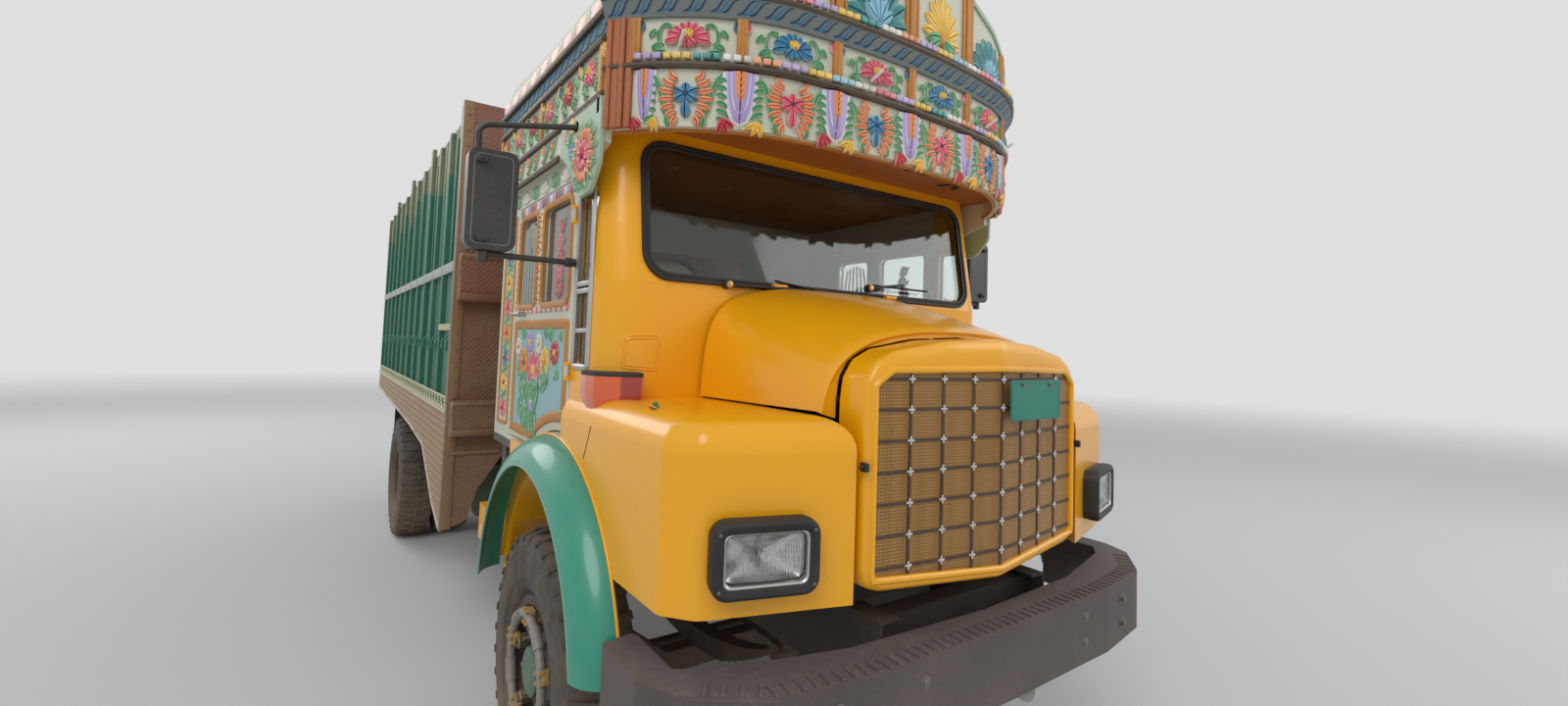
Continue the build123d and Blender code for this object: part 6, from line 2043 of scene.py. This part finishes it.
# the flower row, and the pale row of scrolls under it
rows = []
for petals, corners, odd in (("pink", "yellow", 0), ("red", "navy", 1)):
    panel = makeUpperPanel(petals, corners)
    for index in range(odd, side["panels"], 2):
        s = -side["front"] - (index + 0.5) * sidePitch
        rows.append(copyOf(panel, shift(s, 0, side["rowB"]) @ Matrix.Diagonal((0.70, 0.9, 0.94, 1))))
    bpy.data.objects.remove(panel)
unit = []
for line, half, tone, shape in (
        ([(-0.110, -0.034), (-0.050, -0.052), (-0.020, 0.040), (0.040, 0.030)], 0.010, "green", scrollShape),
        ([(0.010, -0.038), (0.060, -0.044), (0.070, 0.012), (0.100, 0.034)], 0.009, "green", scrollShape),
        ([(-0.060, 0.034), (-0.030, 0.010), (-0.036, -0.020)], 0.010, "teal", petalShape)):
    unit.append(addLeaf(line, half, tone, 0.010, shape))
for x, z, tone in ((0.052, 0.004, "pink"), (-0.078, 0.014, "peach")):
    unit.append(moved(addBlossom(tone, "yellow", 0.026), flatTurn(20, x, z)))
unit = joined("scrolls", unit)
for index in range(side["panels"]):
    s = -side["front"] - (index + 0.5) * sidePitch
    if s < -0.10:
        rows.append(copyOf(unit, shift(s, 0, side["rowA"])))
bpy.data.objects.remove(unit)
placeSide(joined("sideCarving", rows), side["crown"])

posts = [addBlock("post", (-y - 0.016, -0.014, low), (-y + 0.016, 0.002, 2.862), 0.004)
         for y, low in ((side["rear"] - 0.018, 2.56), (0.345, 2.684), (side["front"] + 0.02, 2.60))]
placeSide(joined("sidePosts", posts), side["crown"], "orangeWood")
pieces = []
for index in range(9):
    s = -side["rear"] + 0.085 + index * 0.1685
    edge = addBlock("edge", (s - 0.076, -0.009, 2.984), (s + 0.076, 0.002, 3.050), 0.004)
    field = addBlock("field", (s - 0.060, -0.013, 2.993), (s + 0.060, 0.0, 3.040), 0.004)
    pieces += [tintAll(edge, tones["white"][0]), tintAll(field, tones["peach" if index % 2 else "pink"][1])]
placeSide(joined("sideTopPanels", pieces), side["crown"])

# wing board: a rosette in a ring of leaves that hangs at the corner in front of the door
wingLine = [(-0.020, 2.665), (-0.020, 2.535), (0.120, 2.450), (0.150, 2.385), (0.235, 2.325),
            (0.345, 2.335), (0.425, 2.420), (0.432, 2.600), (0.415, 2.665)]
board = addPlate("wingBoard", alongLine(wingLine, 60, closed=True), -0.014, 0.004, "y", 0.003, 1)
placeSide(board, side["crown"], "paleGreen")
parts = [addBlossom("pink", "red", 0.058, 9, 0.016)]
parts.append(spray(addLeaf([(0, 0.052), (0.010, 0.076), (0, 0.102)], 0.015, "peach", 0.016, dropShape, 7),
                   range(0, 360, 24)))
parts.append(spray(addLeaf([(0, 0.096), (0.012, 0.112), (0, 0.132)], 0.013, "green", 0.011),
                   range(12, 372, 30)))
rosette = joined("rosette", parts)
rosette.data.transform(shift(0.285, -0.014, 2.475))
parts = [rosette]
for x, z, angle, tone in ((0.135, 2.475, -60, "green"), (0.100, 2.520, -80, "blue"),
                          (0.175, 2.400, -110, "green"), (0.060, 2.570, -70, "green"),
                          (0.110, 2.600, -40, "yellow"), (0.030, 2.600, -85, "pink")):
    parts.append(moved(addSprig(tone, 0.062, 0.013, (-28, 0, 28)), flatTurn(angle, x, z) @ shift(0, -0.014)))
placeSide(joined("wingCarving", parts), side["crown"])

# head of the cab side: fans of leaves over the door, scallops under them on the door itself
fans = []
for index in range(7):
    tone = "green" if index % 2 else "white"
    leaf = addLeaf([(0, 0), (0.006, 0.040), (0, 0.074)], 0.012, tone, 0.008, dropShape, 6)
    fans.append(moved(spray(leaf, (-64, -32, 0, 32, 64)), shift(-0.07 - index * 0.155, 0, 2.452)))
placeSide(joined("headFans", fans), side["door"], slotName="cab_painted_wood")
scallopTones = ("teal", "red", "lilac", "white", "pink")
scallops = []
for z, pitch, long, count, start in ((2.432, 0.040, 0.044, 21, -0.055), (1.944, 0.036, 0.030, 24, -0.030)):
    for index in range(count):
        tone = scallopTones[index % 5] if z > 2 else ("pink", "white")[index % 2]
        scallops.append(moved(addLeaf([(0, 0), (0, -long)], pitch * 0.48, tone, 0.006, shieldShape, 6),
                              shift(-start - index * pitch, 0, z)))
placeSide(joined("doorScallops", scallops), side["door"], slotName="door_painted_wood", body="door")

# door windows: painted frames, bars in the rear one, roses on the front one's pane
frontWindow, rearWindow, windowZ = (-0.025, 0.345), (0.455, 0.735), (1.955, 2.375)
frames = []
for start, end in (frontWindow, rearWindow):
    outline = roundedRectangle(end - start, windowZ[1] - windowZ[0], 0.040, 5,
                               (-(start + end) / 2, sum(windowZ) / 2))
    profile = [(-0.004, -0.008), (-0.004, 0.005), (0.004, 0.009), (0.018, 0.009), (0.024, 0.004),
               (0.024, -0.002)]
    frames.append(addFrame("frame", outline, profile, sidePlace(side["door"]), 50))
placeSide(joined("doorWindowFrames", frames), None, "orangeRail", "door_painted_wood", "door")
bars = []
for index in range(6):
    y = rearWindow[0] + 0.026 + index * 0.0456
    bend = 0.018 * abs(index - 2.5)
    route = [(-y, 0.010, windowZ[0]), (-y, 0.010, 2.22 - bend),
             (mixed(-y, -0.595, 0.35), 0.010, 2.355 - bend * 0.6)]
    bars.append(addTube("bar", route, 0.0065, 2, curved=True))
placeSide(joined("doorWindowBars", bars), side["door"], "whiteRail", "door_painted_wood", "door")
parts = []
for index in range(5):
    parts.append(moved(addBlossom("pink" if index % 2 else "red", "pink", 0.050 - 0.004 * index, 8, 0.003),
                       shift(-0.150 - 0.012 * (index % 2), 0, 2.020 + index * 0.066)))
for index in range(8):
    parts.append(moved(addSprig("green", 0.058, 0.009, (0,), 0.003),
                       flatTurn(-52 if index % 2 else 52, -0.150, 1.985 + index * 0.042)))
placeSide(joined("doorRoses", parts), 1.0358, slotName="door_painted_wood", body="door")

# between and beside the windows: a dotted strip and columns of flowers
parts = []
for y in (0.392, 0.768):
    strip = addBlock("strip", (-y - 0.010, -0.004, 1.960), (-y + 0.010, 0.001, 2.375), 0.001, 1)
    parts.append(tintAll(strip, tones["white"][0]))
    for index in range(13):
        parts.append(moved(addKnob(0.0055, "blue", 0.004), shift(-y, -0.004, 1.975 + index * 0.0325)))
for index in range(9):
    parts.append(moved(addBlossom("yellow" if index > 3 else "orange", "red", 0.021, 5, 0.006),
                       shift(-0.425, 0, 1.980 + index * 0.047)))
placeSide(joined("doorStrips", parts), side["door"], slotName="door_painted_wood", body="door")

# lower door panel: a broad painted frame over the arch, a bunch of flowers and leaves in it
doorArch = {"y": -0.030, "z": 0.660, "radius": 0.812}
arc = [(-y, doorArch["z"] + math.sqrt(doorArch["radius"] ** 2 - (y - doorArch["y"]) ** 2))
       for y in (0.38, 0.30, 0.22, 0.14, 0.06, -0.02, -0.058)]
panelLine = alongLine([(-0.765, 1.352), (-0.440, 1.352)] + arc + [(0.058, 1.885), (-0.765, 1.885)], 90,
                      closed=True)
profile = [(-0.042, -0.001), (-0.039, 0.005), (-0.030, 0.008), (-0.012, 0.008), (-0.003, 0.005),
           (0.0, -0.001)]
placeSide(addFrame("doorPanelFrame", panelLine, profile, sidePlace(side["door"]), 50), None, "orangeRail",
          "door_painted_wood", "door")
inner = alongLine([(-0.722, 1.395), (-0.430, 1.395)] + [(a - 0.02, b + 0.045) for a, b in arc[:-1]]
                  + [(0.014, 1.842), (-0.722, 1.842)], 90, closed=True)
placeSide(addPlate("doorPanelField", inner, -0.0025, 0.001, "y"), side["door"], "fieldBlue",
          "door_painted_wood", "door")
parts = []
for x, z, radius, tone, heart in ((-0.40, 1.660, 0.092, "pink", "yellow"),
                                  (-0.235, 1.700, 0.070, "yellow", "orange"),
                                  (-0.565, 1.690, 0.070, "orange", "red"),
                                  (-0.330, 1.778, 0.050, "white", "yellow"),
                                  (-0.480, 1.785, 0.050, "lilac", "yellow"),
                                  (-0.100, 1.745, 0.052, "red", "yellow"),
                                  (-0.670, 1.760, 0.045, "white", "pink"),
                                  (-0.400, 1.520, 0.056, "lilac", "white")):
    parts.append(moved(addBlossom(tone, heart, radius, 8, 0.007), shift(x, -0.003, z)))
for x, z, angle, size in ((-0.310, 1.590, 118, 1.5), (-0.490, 1.590, -118, 1.5), (-0.180, 1.620, 84, 1.3),
                          (-0.620, 1.600, -96, 1.4), (-0.340, 1.480, 150, 1.3), (-0.460, 1.470, -150, 1.3),
                          (-0.560, 1.480, -120, 1.2), (-0.640, 1.480, -80, 1.1), (-0.160, 1.790, 20, 0.9),
                          (-0.610, 1.800, -30, 0.9), (-0.040, 1.640, 60, 0.8), (-0.240, 1.800, 0, 0.8),
                          (-0.680, 1.640, -60, 0.9), (-0.020, 1.790, 30, 0.7)):
    parts.append(moved(addSprig("green", 0.085, 0.018, (-34, 0, 34), 0.005), flatTurn(angle, x, z, size)
                       @ shift(0, -0.003)))
placeSide(joined("doorFlowers", parts), side["door"], slotName="door_painted_wood", body="door")
handle = [addRod("pull", (-0.700, -0.034, 1.915), (-0.590, -0.034, 1.915), 0.009, 12, 0.003)]
handle += [addRod("foot", (x, -0.034, 1.915), (x, 0.002, 1.915), 0.010, 12, 0.002) for x in (-0.690, -0.600)]
placeSide(joined("doorHandle", handle), side["door"], "alloy", "door_painted_wood", "door")

# the fixed cab side behind the door
profile = [(-0.022, -0.001), (-0.018, 0.006), (-0.004, 0.006), (0.0, -0.001)]
outline = alongLine([(-1.045, 1.360), (-0.835, 1.360), (-0.835, 2.420), (-1.045, 2.420)], 44, closed=True)
placeSide(addFrame("sidePanelFrame", outline, profile, sidePlace(side["door"])), None, "orangeRail",
          "cab_painted_wood")
parts = []
for index in range(8):
    blossom = addBlossom(("pink", "yellow", "blue", "orange")[index % 4], "red", 0.052, 7, 0.007)
    parts.append(moved(blossom, shift(-0.940, 0, 1.445 + index * 0.128)))
    if index < 7:
        leaves = addSprig("green", 0.062, 0.014, (-118, -62, 62, 118), 0.006)
        parts.append(moved(leaves, shift(-0.940, 0, 1.508 + index * 0.128)))
placeSide(joined("sideFlowers", parts), side["door"], slotName="cab_painted_wood")

# quarter window: alloy frame, a double bar and a single one
outline = [(0.135, 1.700), (0.290, 1.700), (0.290, 2.360), (0.135, 2.360)]
profile = [(-0.012, -0.006), (-0.012, 0.006), (-0.004, 0.010), (0.008, 0.008), (0.012, 0.0), (0.010, -0.002)]
parts = [addFrame("frame", alongLine(outline, 60, closed=True), profile, sidePlace(side["door"]), 50)]
for z, high in ((2.012, 0.020), (1.985, 0.020), (1.836, 0.018)):
    parts.append(addBlock("bar", (-1.060, -0.286, z - high / 2), (-1.040, -0.139, z + high / 2), 0.004, 2))
placeSide(joined("quarterFrame", parts), None, "alloy", "cab_painted_wood")
report("cab sides carved and painted")


# Rear: tail lamps on the last bearer, flaps behind the twin wheels
lampParts, rims = [], []
for x in (0.86, 1.03):
    lampParts.append(addBlock("lens", (x - 0.068, 6.034, 1.185), (x + 0.068, 6.066, 1.275), 0.010, 3))
    outline = roundedRectangle(0.136, 0.090, 0.012, 4, (-x, 1.230))
    profile = [(-0.002, -0.020), (-0.002, 0.002), (0.008, 0.002), (0.008, -0.020)]
    rims.append(addFrame("rim", outline, profile, lambda a, b, forward: (-a, 6.050 + forward, b)))
    for index in range(5):
        z = 1.196 + index * 0.017
        lampParts.append(addBlock("rib", (x - 0.060, 6.064, z), (x + 0.060, 6.0685, z + 0.006), 0.0015, 1))
placeBoth("tailLamps", lampParts, "tailRed", "indicator_amber")
placeBoth("tailLampRims", rims, "lampBlack", "lamp_black")
flapSize = {"inner": 0.665, "outer": 1.160, "low": 0.420, "high": 1.340, "y": 4.868}


def onFlap(u, v):
    y = flapSize["y"] + 0.012 * math.sin(math.pi * v) + 0.004 * math.sin(9 * u)
    return (mixed(flapSize["inner"], flapSize["outer"], u), y, mixed(flapSize["low"], flapSize["high"], v))


flap = addSheet("mudFlap", 14, 18, onFlap, thickness=0.008)
strap = addBlock("strap", (flapSize["inner"], 4.850, 1.285), (flapSize["outer"], 4.866, 1.335), 0.003)
bolts = [addRod("bolt", (x, 4.842, 1.310), (x, 4.852, 1.310), 0.010, 6, 0.001)
         for x in [0.72 + index * 0.0975 for index in range(5)]]
placeBoth("mudFlaps", [flap, strap] + bolts, "rubber", "tyre")
report("rear dressed")


# Floor, light and camera
stage = {"floorSize": 160, "floorTone": 0.70, "skyStrength": 0.48, "backTone": 0.74}


def makeFloor():
    deselectAll()
    bpy.ops.mesh.primitive_plane_add(size=stage["floorSize"], location=(0, 0, 0))
    floor = named("studioFloor")
    material, tree, surface = newMaterial("paleFloor")
    tone = stage["floorTone"]
    surface.inputs["Base Color"].default_value = (tone, tone, tone * 0.99, 1)
    surface.inputs["Roughness"].default_value = 0.85
    # far off, the floor takes the tone of the sky behind it
    coords = addNode(tree, "ShaderNodeTexCoord")
    reach = tree.nodes.new("ShaderNodeVectorMath")
    reach.operation = "LENGTH"
    tree.links.new(coords.outputs["Object"], reach.inputs[0])
    far = ramp(tree, reach.outputs["Value"], 7.0, 34.0)
    back = stage["backTone"]
    haze = addNode(tree, "ShaderNodeEmission", {"Color": (back, back, back, 1), "Strength": 1.0})
    mix = addNode(tree, "ShaderNodeMixShader", {0: far})
    tree.links.new(surface.outputs[0], mix.inputs[1])
    tree.links.new(haze.outputs[0], mix.inputs[2])
    output = next(node for node in tree.nodes if node.type == "OUTPUT_MATERIAL")
    tree.links.new(mix.outputs[0], output.inputs["Surface"])
    floor.data.materials.append(material)


def makeSky():
    world = bpy.data.worlds.new("studioSky")
    bpy.context.scene.world = world
    world.use_nodes = True
    tree = world.node_tree
    tree.nodes.clear()
    path = addNode(tree, "ShaderNodeLightPath")
    seen = maths(tree, "MAXIMUM", path.outputs["Is Camera Ray"], path.outputs["Is Glossy Ray"])
    seen = maths(tree, "MAXIMUM", seen, path.outputs["Is Transmission Ray"])
    tone = stage["backTone"]
    light = addNode(tree, "ShaderNodeBackground", {"Color": (0.93, 0.96, 1.0, 1),
                                                   "Strength": stage["skyStrength"]})
    back = addNode(tree, "ShaderNodeBackground", {"Color": (tone, tone, tone, 1), "Strength": 1.0})
    mix = addNode(tree, "ShaderNodeMixShader", {0: seen})
    tree.links.new(light.outputs[0], mix.inputs[1])
    tree.links.new(back.outputs[0], mix.inputs[2])
    output = tree.nodes.new("ShaderNodeOutputWorld")
    tree.links.new(mix.outputs[0], output.inputs["Surface"])


def addLamp(name, place, target, size, power):
    light = bpy.data.lights.new(name, "AREA")
    light.shape = "DISK"
    light.size = size
    light.energy = power
    lamp = bpy.data.objects.new(name, light)
    lamp.location = place
    lamp.rotation_euler = (Vector(target) - Vector(place)).to_track_quat("-Z", "Y").to_euler()
    bpy.context.scene.collection.objects.link(lamp)


def makeCamera():
    # stands at the truck's right front corner, close, with a wide lens; places from the front axle
    view = {"place": (-1.864, -2.611, 1.80), "yaw": 35.969, "pitch": 3.097, "roll": 1.905,
            "focalShare": 659.5 / 1600, "middleDrop": (360 - 318.2) / 1600}
    yaw, pitch, roll = (math.radians(view[key]) for key in ("yaw", "pitch", "roll"))
    ahead = Vector((math.sin(yaw) * math.cos(pitch), math.cos(yaw) * math.cos(pitch), math.sin(pitch)))
    level = Vector((math.cos(yaw), -math.sin(yaw), 0))
    above = level.cross(ahead)
    right = level * math.cos(roll) + above * math.sin(roll)
    up = above * math.cos(roll) - level * math.sin(roll)
    data = bpy.data.cameras.new("photoCamera")
    data.sensor_width = 36
    data.lens = 36 * view["focalShare"]
    data.shift_y = -view["middleDrop"]
    data.clip_start, data.clip_end = 0.05, 400
    camera = bpy.data.objects.new("photoCamera", data)
    turned = Matrix((right, up, -ahead)).transposed().to_4x4()
    place = Vector(view["place"]) + Vector((0, frontAxleY, 0))
    camera.matrix_world = Matrix.Translation(place) @ turned
    bpy.context.scene.collection.objects.link(camera)
    bpy.context.scene.camera = camera


makeFloor()
makeSky()
addLamp("keyLamp", (-9, -10, 12), (0, -2, 1.2), 9, 760)
addLamp("fillLamp", (9, -9, 7), (0, -2, 1.2), 8, 320)
addLamp("backLamp", (-6, 11, 9), (0, 1, 1.5), 8, 420)
makeCamera()
bpy.context.scene.view_settings.view_transform = "Standard"
report("stage and camera")
